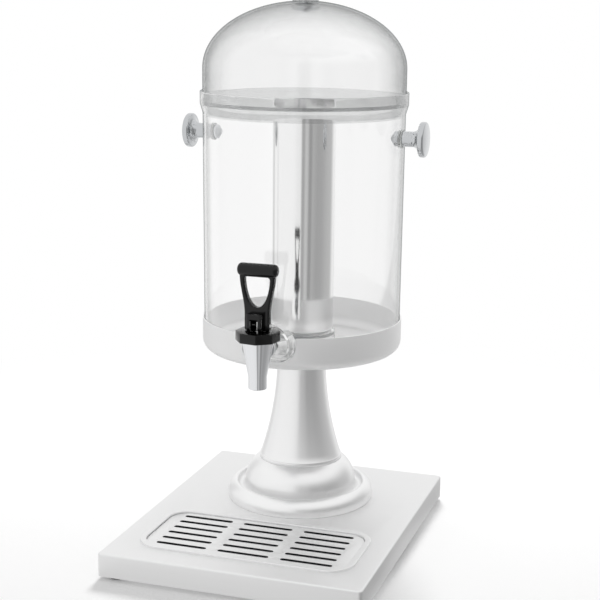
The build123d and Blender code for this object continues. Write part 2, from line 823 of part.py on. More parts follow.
def make_tap_body():
    """Turn the tap body with its cone, spout and chamber, and braze the shank into its side."""
    thread_top_z = bonnet_top_z - bonnet_plate - tap_thread_end_gap
    turned = spun(
        outline(
            (spout_bore_radius, spout_z),
            (spout_radius, spout_z),
            (spout_radius, tap_cone_foot_z),
            (tap_body_radius, tap_shoulder_z),
            (tap_thread_radius, tap_shoulder_z),
            (tap_thread_radius, thread_top_z),
            (tap_chamber_radius, thread_top_z),
            (tap_chamber_radius, tap_seat_z),
            (tap_seat_bore_radius, tap_seat_z),
            (tap_seat_bore_radius, tap_seat_z - tap_seat_land),
            (spout_bore_radius, tap_cone_foot_z),
        )
    )
    lip = turned.edges().filter_by(GeomType.CIRCLE).group_by(Axis.Z)[0].sort_by(SortBy.RADIUS)[-1]
    turned = fillet(lip, spout_edge_radius)
    flange_back = boss_front + tap_gasket_thickness
    flange_front = flange_back + tap_shank_flange_thickness
    nut_back = boss_front - boss_wall - tap_gasket_thickness - tap_nut_height
    shank = rod(tap_shank_diameter, nut_back - tap_shank_past_nut, tap_reach)
    shank += rod(tap_shank_flange_diameter, flange_back, flange_front)
    bore = rod(tap_shank_bore, nut_back - tap_shank_past_nut, tap_reach)
    chamber = rod(2 * tap_chamber_radius, tap_seat_z, thread_top_z)
    body = tap_axis * turned + (along_shank(shank) - tap_axis * chamber)
    return body - along_shank(bore)


def make_tap_gaskets():
    """Make the two silicone rings on either side of the boss wall."""
    bore = tap_shank_diameter + 2 * tap_shank_clearance
    outer = tube(tap_gasket_diameter, bore, boss_front, boss_front + tap_gasket_thickness)
    wall_back = boss_front - boss_wall
    inner = tube(tap_gasket_diameter, bore, wall_back - tap_gasket_thickness, wall_back)
    return [along_shank(outer), along_shank(inner)]


def make_tap_shank_nut():
    """Make the nut that holds the tap from inside the boss, with two flats level."""
    nut = hex_nut(tap_nut_flats, tap_shank_diameter + thread_margin, tap_nut_height)
    nut_back = boss_front - boss_wall - tap_gasket_thickness - tap_nut_height
    return along_shank(Pos(0, 0, nut_back) * nut)


def make_tap_bonnet():
    """Mould the octagonal bonnet that screws on the body and guides the stem."""
    plan = Rot(0, 0, -90 + bonnet_turn) * RegularPolygon(bonnet_vertex_radius, bonnet_sides)
    bonnet = extrude(plan, bonnet_height)
    bonnet = chamfer(bonnet.faces().sort_by(Axis.Z)[-1].edges(), bonnet_edge_chamfer)
    bonnet -= rod(2 * tap_thread_radius + thread_margin, 0, bonnet_height - bonnet_plate)
    bonnet -= rod(stem_diameter + 2 * stem_clearance, 0, bonnet_height)
    return Pos(0, tap_axis_y, tap_shoulder_z) * bonnet


def make_tap_spring():
    """Wind the closing spring between the stem collar and the bonnet plate."""
    foot_z = stem_collar_z + stem_collar_thickness + spring_end_gap + spring_wire / 2
    head_z = bonnet_top_z - bonnet_plate - spring_end_gap - spring_wire / 2
    height = head_z - foot_z
    path = Helix(height / spring_turns, height, spring_mean_radius)
    section = Plane(path @ 0, z_dir=path % 0) * Circle(spring_wire / 2)
    return Pos(0, tap_axis_y, foot_z) * sweep(section, path, is_frenet=True)


def make_tap_stem():
    """Turn the stem with its spring collar and cross bore for the pin."""
    stem = rod(stem_diameter, tap_seat_z + seat_cup_floor, handle_pin_z + stem_past_pin)
    stem += rod(stem_collar_diameter, stem_collar_z, stem_collar_z + stem_collar_thickness)
    cross_bore = Rot(0, 90, 0) * Cylinder(handle_pin_diameter / 2 + handle_pin_fit, 2 * stem_diameter)
    return tap_axis * (stem - Pos(0, 0, handle_pin_z) * cross_bore)


def make_tap_seat_cup():
    """Mould the silicone seat cup on the stem's lower end."""
    cup = spun(
        outline(
            (0, tap_seat_z),
            (seat_cup_radius, tap_seat_z),
            (seat_cup_neck_radius, stem_collar_z),
            (0, stem_collar_z),
        )
    )
    return tap_axis * (cup - rod(stem_diameter + thread_margin, tap_seat_z + seat_cup_floor, stem_collar_z))


def loop_outline(bar_z):
    """Draw the handle's plate: upright flanks that flow out to the bar, and a shield shaped opening."""
    waist = (loop_waist_half_width, handle_foot_z + loop_waist_height)
    shoulder = (loop_top_half_width, bar_z - loop_shoulder_drop)
    upright = (0, 1)
    half = make_face(
        [
            Polyline((0, handle_foot_z), (loop_waist_half_width, handle_foot_z), waist),
            Spline(waist, shoulder, tangents=[upright, upright]),
            Polyline(shoulder, (loop_top_half_width, bar_z), (0, bar_z), (0, handle_foot_z)),
        ]
    )
    roof_z = bar_z - bar_diameter / 2
    below_roof = Pos(0, roof_z - gap_height / 2) * Rectangle(2 * gap_half_width, gap_height)
    shield = Pos(0, roof_z) * Ellipse(gap_half_width, gap_height) & below_roof
    shield = fillet(shield.vertices().group_by(Axis.Y)[-1], gap_roof_radius)
    return half + mirror(half, Plane.YZ) - shield


def make_tap_handle():
    """Mould the handle: a cam block with a stem slot, a finger loop and a grip bar."""
    bar_z = handle_foot_z + bar_height
    block = Pos(0, 0, handle_foot_z + handle_block_height / 2) * Box(
        handle_block_width, handle_block_depth, handle_block_height
    )
    front_foot = block.edges().group_by(Axis.Z)[0].sort_by(Axis.Y)[0]
    block = fillet(front_foot, handle_cam_radius)
    uprights = block.edges().filter_by(Axis.Z)
    block = fillet(uprights + block.edges().group_by(Axis.Z)[-1], handle_edge_radius)
    slot_front = -handle_block_depth
    slot_depth = handle_slot_behind_pin - slot_front
    slot = Pos(0, slot_front + slot_depth / 2, handle_foot_z + handle_slot_height / 2) * Box(
        handle_slot_width, slot_depth, handle_slot_height
    )
    plane = Plane((0, loop_thickness / 2, 0), x_dir=(1, 0, 0), z_dir=(0, -1, 0))
    loop = extrude(plane * loop_outline(bar_z), loop_thickness)
    foot_edges = loop.edges().group_by(Axis.Z)[0]
    loop = fillet(loop.edges().filter_by(Axis.Y, reverse=True) - foot_edges, loop_edge_radius)
    bar = Rot(0, 90, 0) * Cylinder(bar_diameter / 2, bar_length)
    bar = fillet(bar.edges().filter_by(GeomType.CIRCLE), bar_end_radius)
    pin_bore = Rot(0, 90, 0) * Cylinder(handle_pin_diameter / 2 + handle_pin_fit, 2 * bar_length)
    handle = block + loop + Pos(0, 0, bar_z) * bar - slot - Pos(0, 0, handle_pin_z) * pin_bore
    return tap_axis * handle


def make_tap_handle_pin():
    """Make the cross pin that hinges the handle on the stem."""
    pin = Rot(0, 90, 0) * Cylinder(handle_pin_diameter / 2, 2 * loop_waist_half_width)
    return Pos(0, tap_axis_y, handle_pin_z) * pin


lid_dome = make_lid_dome()
nodes = {
    "base_cover": make_base_cover(),
    "base_feet": make_base_feet(),
    "foot_screws": make_foot_screws(),
    "foot_nuts": make_foot_nuts(),
    "base_stiffener": make_base_stiffener(),
    "drip_tray": make_drip_tray(),
    "drip_grille": make_drip_grille(),
    "pedestal_flange": make_pedestal_flange(),
    "pedestal_column": make_pedestal_column(),
    "support_cup": make_support_cup(),
    "cup_hub": make_cup_hub(),
    "tie_rod": make_tie_rod(),
    "tie_rod_washer": make_tie_rod_washer(),
    "tie_rod_nut": make_tie_rod_nut(),
    "tank_vessel": make_tank_vessel(),
    "tank_rim": make_tank_rim(),
    "ice_tube_seat": make_ice_tube_seat(),
    "ice_tube": make_ice_tube(),
    "ice_tube_gasket": make_ice_tube_gasket(),
    "ice_tube_washer": make_ice_tube_washer(),
    "ice_tube_nut": make_ice_tube_nut(),
    "knob_left": make_tank_knob(-1),
    "knob_right": make_tank_knob(1),
    "knob_cap_nuts": make_knob_cap_nuts(),
    "knob_washers": make_knob_washers(),
    "tap_body": make_tap_body(),
    "tap_gaskets": make_tap_gaskets(),
    "tap_shank_nut": make_tap_shank_nut(),
    "tap_bonnet": make_tap_bonnet(),
    "tap_spring": make_tap_spring(),
    "tap_stem": make_tap_stem(),
    "tap_seat_cup": make_tap_seat_cup(),
    "tap_handle": make_tap_handle(),
    "tap_handle_pin": make_tap_handle_pin(),
    "lid_dome": lid_dome,
    "lid_knob": make_lid_knob(),
    "lid_knob_nut": make_lid_knob_nut(),
    "lid_knob_washers": make_lid_knob_washers(lid_dome),
}

os.makedirs("parts", exist_ok=True)
for name, shape in nodes.items():
    solids = shape if isinstance(shape, list) else shape.solids()
    export_step(Compound(children=[piece for piece in solids], label=name), f"parts/{name}.step")
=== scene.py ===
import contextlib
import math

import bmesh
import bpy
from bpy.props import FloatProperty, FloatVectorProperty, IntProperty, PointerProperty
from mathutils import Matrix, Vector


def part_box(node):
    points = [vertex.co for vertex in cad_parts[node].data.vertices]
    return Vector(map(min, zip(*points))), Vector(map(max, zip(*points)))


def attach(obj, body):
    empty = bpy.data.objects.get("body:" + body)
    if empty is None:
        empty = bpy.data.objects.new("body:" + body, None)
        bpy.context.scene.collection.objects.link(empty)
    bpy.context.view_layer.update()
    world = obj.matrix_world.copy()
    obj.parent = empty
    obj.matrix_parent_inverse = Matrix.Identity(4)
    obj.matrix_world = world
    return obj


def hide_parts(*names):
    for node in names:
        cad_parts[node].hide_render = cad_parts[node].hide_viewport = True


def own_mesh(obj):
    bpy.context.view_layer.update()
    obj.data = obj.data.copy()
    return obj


bl_info = {
    "name": "Juice Dispenser",
    "version": (1, 0, 0),
    "blender": (4, 5, 0),
    "location": "3D View > Sidebar > Dispenser",
    "description": "Models, finishes and lights a clear tank with a lever tap on a steel pedestal",
    "category": "Add Mesh",
}

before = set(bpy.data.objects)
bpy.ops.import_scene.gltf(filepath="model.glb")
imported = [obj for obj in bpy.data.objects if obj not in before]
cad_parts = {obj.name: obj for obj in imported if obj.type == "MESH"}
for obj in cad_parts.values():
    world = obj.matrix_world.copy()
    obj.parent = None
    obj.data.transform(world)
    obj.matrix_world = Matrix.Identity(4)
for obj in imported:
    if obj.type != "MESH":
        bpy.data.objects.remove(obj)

UP = Vector((0, 0, 1))
RIGHT = Vector((1, 0, 0))
FORWARD = Vector((0, -1, 0))
WHITE = (1.0, 1.0, 1.0, 1.0)

# Steps round a full turn, more on wider pieces, and round a corner
WIDE_STEPS = 192
CUP_STEPS = 160
TURN_STEPS = 128
TAP_STEPS = 96
STEM_STEPS = 64
SMALL_STEPS = 48
SPRING_STEPS = 36
BAR_STEPS = 32
WIRE_STEPS = 12
CORNER_STEPS = 6

SMOOTH_ANGLE = math.radians(32)
SHARP_ANGLE = math.radians(40)

# Least cosine between a normal and the way that a face looks
FACING_LIMIT = 0.9

# Lengths in metres: between points at one place, between faces at one height, over which the painted shade on
# the tray and grille starts, and of the painted grey band round the lid's lower edge
MERGE_DISTANCE = 1e-6
LEVEL_DISTANCE = 1e-5
SHADE_BLEND = 2e-4
LID_SHADE_BAND = 3e-3

# Slants at which the painted grey shade of clear plastic starts to show and shows in full
SLANT_START = 0.3
SLANT_END = 0.95

# How often light may pass clear walls, and go between mirrors
CLEAR_BOUNCES = 32
MIRROR_BOUNCES = 12

SENSOR_WIDTH = 36.0


# Property makers

def length(name, description, millimetres):
    """Make a length property from a default in millimetres."""
    return FloatProperty(
        name=name, description=description, default=millimetres / 1000, unit="LENGTH", precision=5
    )


def angle(name, description, degrees):
    """Make an angle property from a default in degrees."""
    return FloatProperty(
        name=name, description=description, default=math.radians(degrees), subtype="ANGLE"
    )


def amount(name, description, default):
    """Make a plain number property."""
    return FloatProperty(name=name, description=description, default=default, min=0.0)


def count(name, description, default):
    """Make a whole number property."""
    return IntProperty(name=name, description=description, default=default, min=1)


def linear(hex_code):
    """Turn an sRGB hex colour into the linear values that shaders use."""
    channels = [int(hex_code[i : i + 2], 16) / 255 for i in (1, 3, 5)]
    return [c / 12.92 if c <= 0.04045 else ((c + 0.055) / 1.055) ** 2.4 for c in channels]


def tint(name, description, hex_code):
    """Make a colour property from an sRGB hex code."""
    return FloatVectorProperty(
        name=name, description=description, default=linear(hex_code), subtype="COLOR", size=3, min=0, max=1
    )


def spot(name, description, metres):
    """Make a place property from a default in metres."""
    return FloatVectorProperty(
        name=name, description=description, default=metres, subtype="TRANSLATION", size=3
    )


# Settings, one group for each part of the dispenser

class BaseSettings(bpy.types.PropertyGroup):
    """Sizes of the folded base and its feet."""

    corner_radius: length("Corner radius", "Radius of the base's upright corners", 4.0)
    fold_radius: length("Fold radius", "Radius of the fold round the top", 2.0)
    sheet: length("Sheet", "Thickness of the base sheet", 1.2)
    lip_width: length("Lip width", "Width of the return lip under the base", 30.0)
    edge: length("Edge", "Softness of cut edges", 0.25)
    foot_diameter: length("Foot diameter", "Diameter of each rubber foot", 18.0)
    foot_edge: length("Foot edge", "Rounding of a foot's lower edge", 1.0)
    recess_radius: length("Recess radius", "Radius of the screw recess in a foot", 4.1)
    recess_depth: length("Recess depth", "Depth of the screw recess in a foot", 2.2)
    hole_radius: length("Hole radius", "Radius of the screw hole in a foot", 2.1)


class TraySettings(bpy.types.PropertyGroup):
    """Sizes of the drip tray and its grille."""

    corner_radius: length("Corner radius", "Plan radius of the tray's corners", 26.0)
    rim_width: length("Rim width", "Width of the raised rim", 5.0)
    rim_round: length("Rim rounding", "Rounding of the rim's edges", 0.7)
    rim_overlap: length("Rim overlap", "How far the rim lies on the base", 4.2)
    sheet: length("Sheet", "Thickness of the tray sheet", 1.0)
    ledge_width: length("Ledge width", "Width of the ledge under the grille", 4.0)
    well_radius: length("Well radius", "Rounding round the floor of the well", 2.0)
    grille_gap: length("Grille gap", "Play between the grille and the rim", 0.5)
    slot_length: length("Slot length", "Length of a slot over its round ends", 51.0)
    slot_width: length("Slot width", "Width of a slot", 5.0)
    slot_columns: count("Slot columns", "Banks of slots across the grille", 3)
    slot_rows: count("Slot rows", "Slots in each bank", 6)
    pitch_across: length("Pitch across", "Distance between banks", 63.0)
    pitch_along: length("Pitch along", "Distance between slots of one bank", 14.4)
    slot_edge: length("Slot edge", "Rolled edge of the punched slots", 0.35)


class PedestalSettings(bpy.types.PropertyGroup):
    """Sizes of the spun flange and the trumpet column."""

    sheet: length("Sheet", "Thickness of the spun sheet", 1.5)
    roll_radius: length("Roll radius", "Section radius of the flange's outer roll", 15.0)
    roll_height: length("Roll height", "Height of the roll's centre over the base", 4.0)
    groove_radius: length("Groove radius", "Outer radius of the groove inside the roll", 65.5)
    groove_edge: length("Groove edge", "Rounding where the roll turns into the groove", 2.2)
    groove_depth: length("Groove depth", "Depth of the groove", 8.0)
    bell_radius: length("Bell radius", "Radius at the foot of the bell", 57.5)
    bell_shoulder: length("Bell shoulder", "Height at which the bell starts to curve in", 20.0)
    bell_bulge: length("Bell bulge", "How far the bell swells past a straight cone", 3.0)
    bell_margin: length("Bell margin", "Bell top beyond the column's ring", 0.8)
    lip_radius: length("Lip radius", "Inner radius of the lip on the bell's top", 30.0)
    column_foot: length("Column foot", "Column radius over its ring", 42.0)
    column_top: length("Column top", "Column radius under the cup", 25.0)
    column_flare: length("Column flare", "How far the column's side curves in", 4.8)
    ring_height: length("Ring height", "Height of the ring round the column's foot", 3.6)
    ring_step: length("Ring step", "How far the ring stands out from the column", 0.8)
    edge: length("Edge", "Softness of cut edges", 0.3)


class CupSettings(bpy.types.PropertyGroup):
    """Sizes of the support cup."""

    sheet: length("Sheet", "Thickness of the cup's sheet", 1.2)
    corner_radius: length("Corner radius", "Radius between the cup's floor and wall", 12.0)
    notch_gap: length("Notch gap", "Room between the notch and the tap boss", 1.5)
    edge: length("Edge", "Softness of the rim", 0.35)


class TankSettings(bpy.types.PropertyGroup):
    """Sizes of the moulded tank and its tap boss."""

    wall: length("Wall", "Thickness of the tank's wall", 3.0)
    floor: length("Floor", "Thickness of the tank's floor", 4.5)
    foot_radius: length("Foot radius", "Outer radius at the bottom", 100.4)
    draft: angle("Draft", "Lean of the wall", 0.29)
    corner_radius: length("Corner radius", "Outer radius between floor and wall", 13.0)
    collar_wall: length("Collar wall", "Thickness of the flared mouth", 2.3)
    collar_depth: length("Collar depth", "Depth of the flared mouth over the lid's seat", 12.0)
    collar_taper: length("Collar taper", "Height of the flare under the seat", 9.5)
    collar_blend: length("Collar blend", "Rounding of the flare", 5.0)
    mouth_edge: length("Mouth edge", "Rounding of the mouth", 0.8)
    seat_wall: length("Seat wall", "Thickness of the ice tube's seat", 4.0)
    stud_hole: length("Stud hole", "Radius of the hole for the ice tube's stud", 4.4)
    knob_hole: length("Knob hole", "Radius of the holes for the knobs' studs", 3.4)
    boss_width: length("Boss width", "Width of the tap boss", 48.0)
    boss_bottom: length("Boss bottom", "Height of the boss over the tank's bottom", 11.8)
    boss_shoulder: length("Boss shoulder", "Height at which the boss starts to arch", 32.8)
    boss_top: length("Boss top", "Height of the boss's arch", 48.8)
    boss_corner: length("Boss corner", "Radius of the boss's lower corners", 10.0)
    boss_wall: length("Boss wall", "Thickness of the hollow boss", 3.5)
    boss_edge: length("Boss edge", "Rounding of the boss's front", 3.0)
    shank_height: length("Shank height", "Height of the tap's shank over the tank's bottom", 25.3)
    shank_hole: length("Shank hole", "Radius of the hole for the tap's shank", 7.3)


class IceTubeSettings(bpy.types.PropertyGroup):
    """Sizes of the ice tube."""

    wall: length("Wall", "Thickness of the tube", 1.5)
    foot_radius: length("Foot radius", "Rounding of the closed foot", 3.0)
    stud_radius: length("Stud radius", "Radius of the stud under the foot", 4.0)
    lip: length("Lip", "Rounding of the tube's mouth", 0.5)


class KnobSettings(bpy.types.PropertyGroup):
    """Sizes of the mushroom knobs and their cap nuts."""

    body_length: length("Length", "Length of a knob without its stud", 24.5)
    stem_length: length("Stem length", "Length of the straight stem", 9.0)
    stem_radius: length("Stem radius", "Radius of the stem", 7.6)
    head_thickness: length("Head thickness", "Thickness of the head's rim", 6.0)
    edge: length("Edge", "Rounding of the head's rim", 1.8)
    crown: length("Crown", "Rise of the head's face", 1.6)
    stud_radius: length("Stud radius", "Radius of the stud", 3.0)
    nut_shank: length("Nut shank", "Length of a cap nut's round part", 3.6)
    nut_tip_radius: length("Nut tip radius", "Radius of a cap nut's tip", 2.5)
    nut_edge: length("Nut edge", "Rounding of a cap nut's edges", 0.5)
    nut_bore: length("Nut bore", "Radius of a cap nut's thread", 3.05)
    nut_bore_depth: length("Nut bore depth", "Depth of a cap nut's thread", 4.4)


class TapSettings(bpy.types.PropertyGroup):
    """Sizes of the tap body, bonnet, spring and handle."""

    body_radius: length("Body radius", "Radius of the body's shoulder", 15.5)
    shoulder: length("Shoulder", "Height of the shoulder over the spout's mouth", 47.3)
    spout_length: length("Spout length", "Length of the straight spout", 12.3)
    spout_radius: length("Spout radius", "Radius of the spout", 8.9)
    spout_bore: length("Spout bore", "Radius of the spout's bore", 7.0)
    spout_edge: length("Spout edge", "Rounding of the spout's mouth", 1.2)
    seat_height: length("Seat height", "Height of the seat over the spout", 10.0)
    seat_land: length("Seat land", "Length of the narrow bore under the seat", 4.7)
    seat_bore: length("Seat bore", "Radius of the bore under the seat", 5.5)
    chamber_radius: length("Chamber radius", "Radius of the chamber over the seat", 9.0)
    thread_radius: length("Thread radius", "Radius of the thread for the bonnet", 13.5)
    shank_radius: length("Shank radius", "Radius of the shank", 7.0)
    shank_bore: length("Shank bore", "Radius of the shank's bore", 4.5)
    flange_radius: length("Flange radius", "Radius of the shank's flange", 10.5)
    flange_thickness: length("Flange thickness", "Thickness of the shank's flange", 3.0)
    gasket: length("Gasket", "Thickness of the gasket behind the flange", 1.5)
    bonnet_radius: length("Bonnet radius", "Radius over the bonnet's corners", 21.4)
    bonnet_plate: length("Bonnet plate", "Thickness of the bonnet's top", 3.3)
    bonnet_turn: angle("Bonnet turn", "Turn of the bonnet's front corner", 13.0)
    bonnet_sides: count("Bonnet sides", "Sides of the bonnet", 8)
    bonnet_edge: length("Bonnet edge", "Rounding of the bonnet's edges", 0.6)
    stem_hole: length("Stem hole", "Radius of the stem's hole in the bonnet", 3.1)
    stem_travel: length("Stem travel", "How far the stem lifts and shortens the spring", 4.6)
    spring_wire: length("Spring wire", "Thickness of the spring's wire", 1.2)
    spring_turns: count("Spring turns", "Turns of the spring", 6)
    block_width: length("Block width", "Width of the handle's cam block", 14.6)
    block_height: length("Block height", "Height of the handle's cam block", 17.5)
    cam_radius: length("Cam radius", "Rounding of the block's front foot", 5.0)
    block_edge: length("Block edge", "Rounding of the block's edges", 1.2)
    slot_width: length("Slot width", "Width of the slot for the stem", 7.8)
    slot_height: length("Slot height", "Height of the slot for the stem", 12.4)
    slot_back: length("Slot back", "How far the slot runs behind the stem", 5.0)
    pin_fit: length("Pin fit", "Play round the cross pin", 0.05)
    loop_top: length("Loop top", "Half width of the loop under the bar", 17.4)
    loop_waist: length("Loop waist", "Half width of the loop at its foot", 12.3)
    waist_height: length("Waist height", "Height up to which the loop's flanks are upright", 16.0)
    shoulder_drop: length("Shoulder drop", "Depth of the loop's shoulders under the bar's axis", 4.0)
    loop_thickness: length("Loop thickness", "Thickness of the loop", 8.0)
    gap_half: length("Gap half width", "Half width of the finger opening at its top", 12.6)
    gap_height: length("Gap height", "Height of the finger opening", 29.0)
    gap_round: length("Gap rounding", "Rounding of the finger opening's upper corners", 2.5)
    loop_edge: length("Loop edge", "Rounding of the loop's edges", 1.8)
    bar_radius: length("Bar radius", "Radius of the grip bar", 6.3)
    bar_edge: length("Bar edge", "Rounding of the grip bar's ends", 4.4)


class LidSettings(bpy.types.PropertyGroup):
    """Sizes of the dome lid."""

    wall: length("Wall", "Thickness of the lid", 2.5)
    rise: length("Rise", "Rise of the dome over the skirt", 66.0)
    edge: length("Edge", "Rounding of the skirt's lower edge", 0.6)


class StageSettings(bpy.types.PropertyGroup):
    """Camera, floor and light."""

    camera_place: spot("Camera place", "Where the camera stands", (0.4298, -1.272, 0.5433))
    azimuth: angle("Azimuth", "Turn of the view about the dispenser", 18.003)
    pitch: angle("Pitch", "How far the camera looks down", 12.365)
    roll: angle("Roll", "Tilt of the camera", 0.612)
    lens: amount("Lens", "Focal length in millimetres on a 36 mm sensor", 83.24)
    floor_size: length("Floor size", "Side of the square floor", 12000.0)
    floor_colour: tint("Floor colour", "Colour of the floor", "#ffffff")
    fade_start: length("Fade start", "Where the floor starts to fade into the white room", 300.0)
    fade_end: length("Fade end", "Where the floor has turned white", 800.0)
    sweep_start: length("Sweep start", "Where the floor that mirrors see starts to turn into the room", 110.0)
    sweep_end: length("Sweep end", "Where the floor that mirrors see has turned into the room", 180.0)
    apron_depth: length("Apron depth", "Depth of the pale floor that the base's front mirrors", 130.0)
    apron_fade: length("Apron fade", "Width over which that pale floor ends", 40.0)
    apron_colour: tint("Apron colour", "Colour of that pale floor", "#e6e6e6")
    room_light: amount("Room light", "Level of the even light from the room", 0.64)
    ceiling_start: amount("Ceiling start", "Upward slope at which the room's walls start to turn white", 0.2)
    ceiling_end: amount("Ceiling end", "Upward slope at which the room's walls have turned white", 0.6)
    key_power: amount("Key power", "Power of the large lamp behind the dispenser, in watts", 20.0)
    key_size: length("Key size", "Side of the large square lamp", 500.0)
    key_place: spot("Key place", "Where the large lamp hangs", (-0.25, 1.3, 1.45))
    key_aim: spot("Key aim", "Where the large lamp points", (0.0, 0.0, 0.1))


# What mirrors and clear plastic see round the dispenser: pale walls and lamps with darker gaps between them.
# Each stop is a turn in degrees, from the front towards the right, with the grey level seen there.
ROOM_STOPS = (
    (-90, 0.8), (-85, 1.0), (-20, 1.0), (8, 0.95), (13, 0.42), (20, 0.42), (25, 0.62), (33, 0.58),
    (39, 0.32), (46, 0.32), (52, 0.45), (70, 0.38), (90, 0.42), (112, 0.52), (138, 0.58), (150, 0.85),
    (160, 1.0), (226, 1.0), (232, 0.7), (244, 0.7), (250, 1.0), (265, 1.0), (270, 0.8),
)


# Selection and modelling helpers

def activate(obj, *others):
    """Make one object the active one, selected alone or with others."""
    bpy.ops.object.select_all(action="DESELECT")
    for each in (obj, *others):
        each.select_set(True)
    bpy.context.view_layer.objects.active = obj


@contextlib.contextmanager
def editing(obj):
    """Work on one object in edit mode."""
    activate(obj)
    bpy.ops.object.mode_set(mode="EDIT")
    yield
    bpy.ops.object.mode_set(mode="OBJECT")


def start_piece(name, primitive, **size):
    """Add a primitive to start a piece from, as the only selected object."""
    bpy.ops.object.select_all(action="DESELECT")
    primitive(**size)
    piece = bpy.context.object
    piece.name = name
    return piece


def select(kind, test):
    """In edit mode, select the vertices, edges or faces that pass a test."""
    bpy.ops.mesh.select_mode(type=kind)
    bpy.ops.mesh.select_all(action="DESELECT")
    mesh = bmesh.from_edit_mesh(bpy.context.object.data)
    items = {"VERT": mesh.verts, "EDGE": mesh.edges, "FACE": mesh.faces}[kind]
    for item in items:
        if test(item):
            item.select_set(True)
    mesh.select_flush_mode()
    bmesh.update_edit_mesh(bpy.context.object.data)


def select_whole():
    """In edit mode, select the whole mesh."""
    bpy.ops.mesh.select_mode(type="VERT")
    bpy.ops.mesh.select_all(action="SELECT")


def at_height(height):
    """Give a test for edges that lie level at a height."""
    return lambda edge: all(abs(vertex.co.z - height) < MERGE_DISTANCE for vertex in edge.verts)


def facing(direction, height):
    """Give a test for level faces at a height that face up or down."""

    def test(face):
        level = abs(face.calc_center_median().z - height) < LEVEL_DISTANCE
        return level and face.normal.dot(direction) > FACING_LIMIT

    return test


def extrude(step):
    """In edit mode, extrude the selection by a step."""
    bpy.ops.mesh.extrude_region_move(TRANSFORM_OT_translate={"value": tuple(step)})


def merge_doubles():
    """In edit mode, weld vertices that share a place and turn all faces outwards."""
    select_whole()
    bpy.ops.mesh.remove_doubles(threshold=MERGE_DISTANCE)
    bpy.ops.mesh.normals_make_consistent(inside=False)


def apply_modifier(obj, kind, **settings):
    """Add a modifier with its settings and apply it."""
    activate(obj)
    bpy.ops.object.modifier_add(type=kind)
    modifier = obj.modifiers[-1]
    for key, value in settings.items():
        setattr(modifier, key, value)
    bpy.ops.object.modifier_apply(modifier=modifier.name)


def combine(obj, tool, operation):
    """Cut, join or intersect a piece with a tool, which is then removed."""
    apply_modifier(obj, "BOOLEAN", object=tool, operation=operation, solver="MANIFOLD")
    bpy.data.objects.remove(tool)


def thicken(obj, sheet):
    """Give a skin its sheet thickness on its inner side."""
    apply_modifier(obj, "SOLIDIFY", thickness=sheet, offset=-1.0, use_even_offset=True)


def soften(obj, width, segments=2):
    """Round every sharp edge of a piece."""
    apply_modifier(
        obj,
        "BEVEL",
        width=width,
        segments=segments,
        limit_method="ANGLE",
        angle_limit=SHARP_ANGLE,
        use_clamp_overlap=False,
    )


class Lathe:
    """An axis to turn about, with the side on which outlines are drawn."""

    def __init__(self, origin, axis, side):
        self.origin = Vector(origin)
        self.axis = Vector(axis)
        self.side = Vector(side)

    def at(self, radius, height):
        """Give the place at a radius and a height along the axis."""
        return self.origin + self.side * radius + self.axis * height


def upright(node):
    """Give the lathe about the upright line through the middle of a node."""
    low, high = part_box(node)
    middle = (low + high) / 2
    return Lathe((middle.x, middle.y, 0), UP, RIGHT)


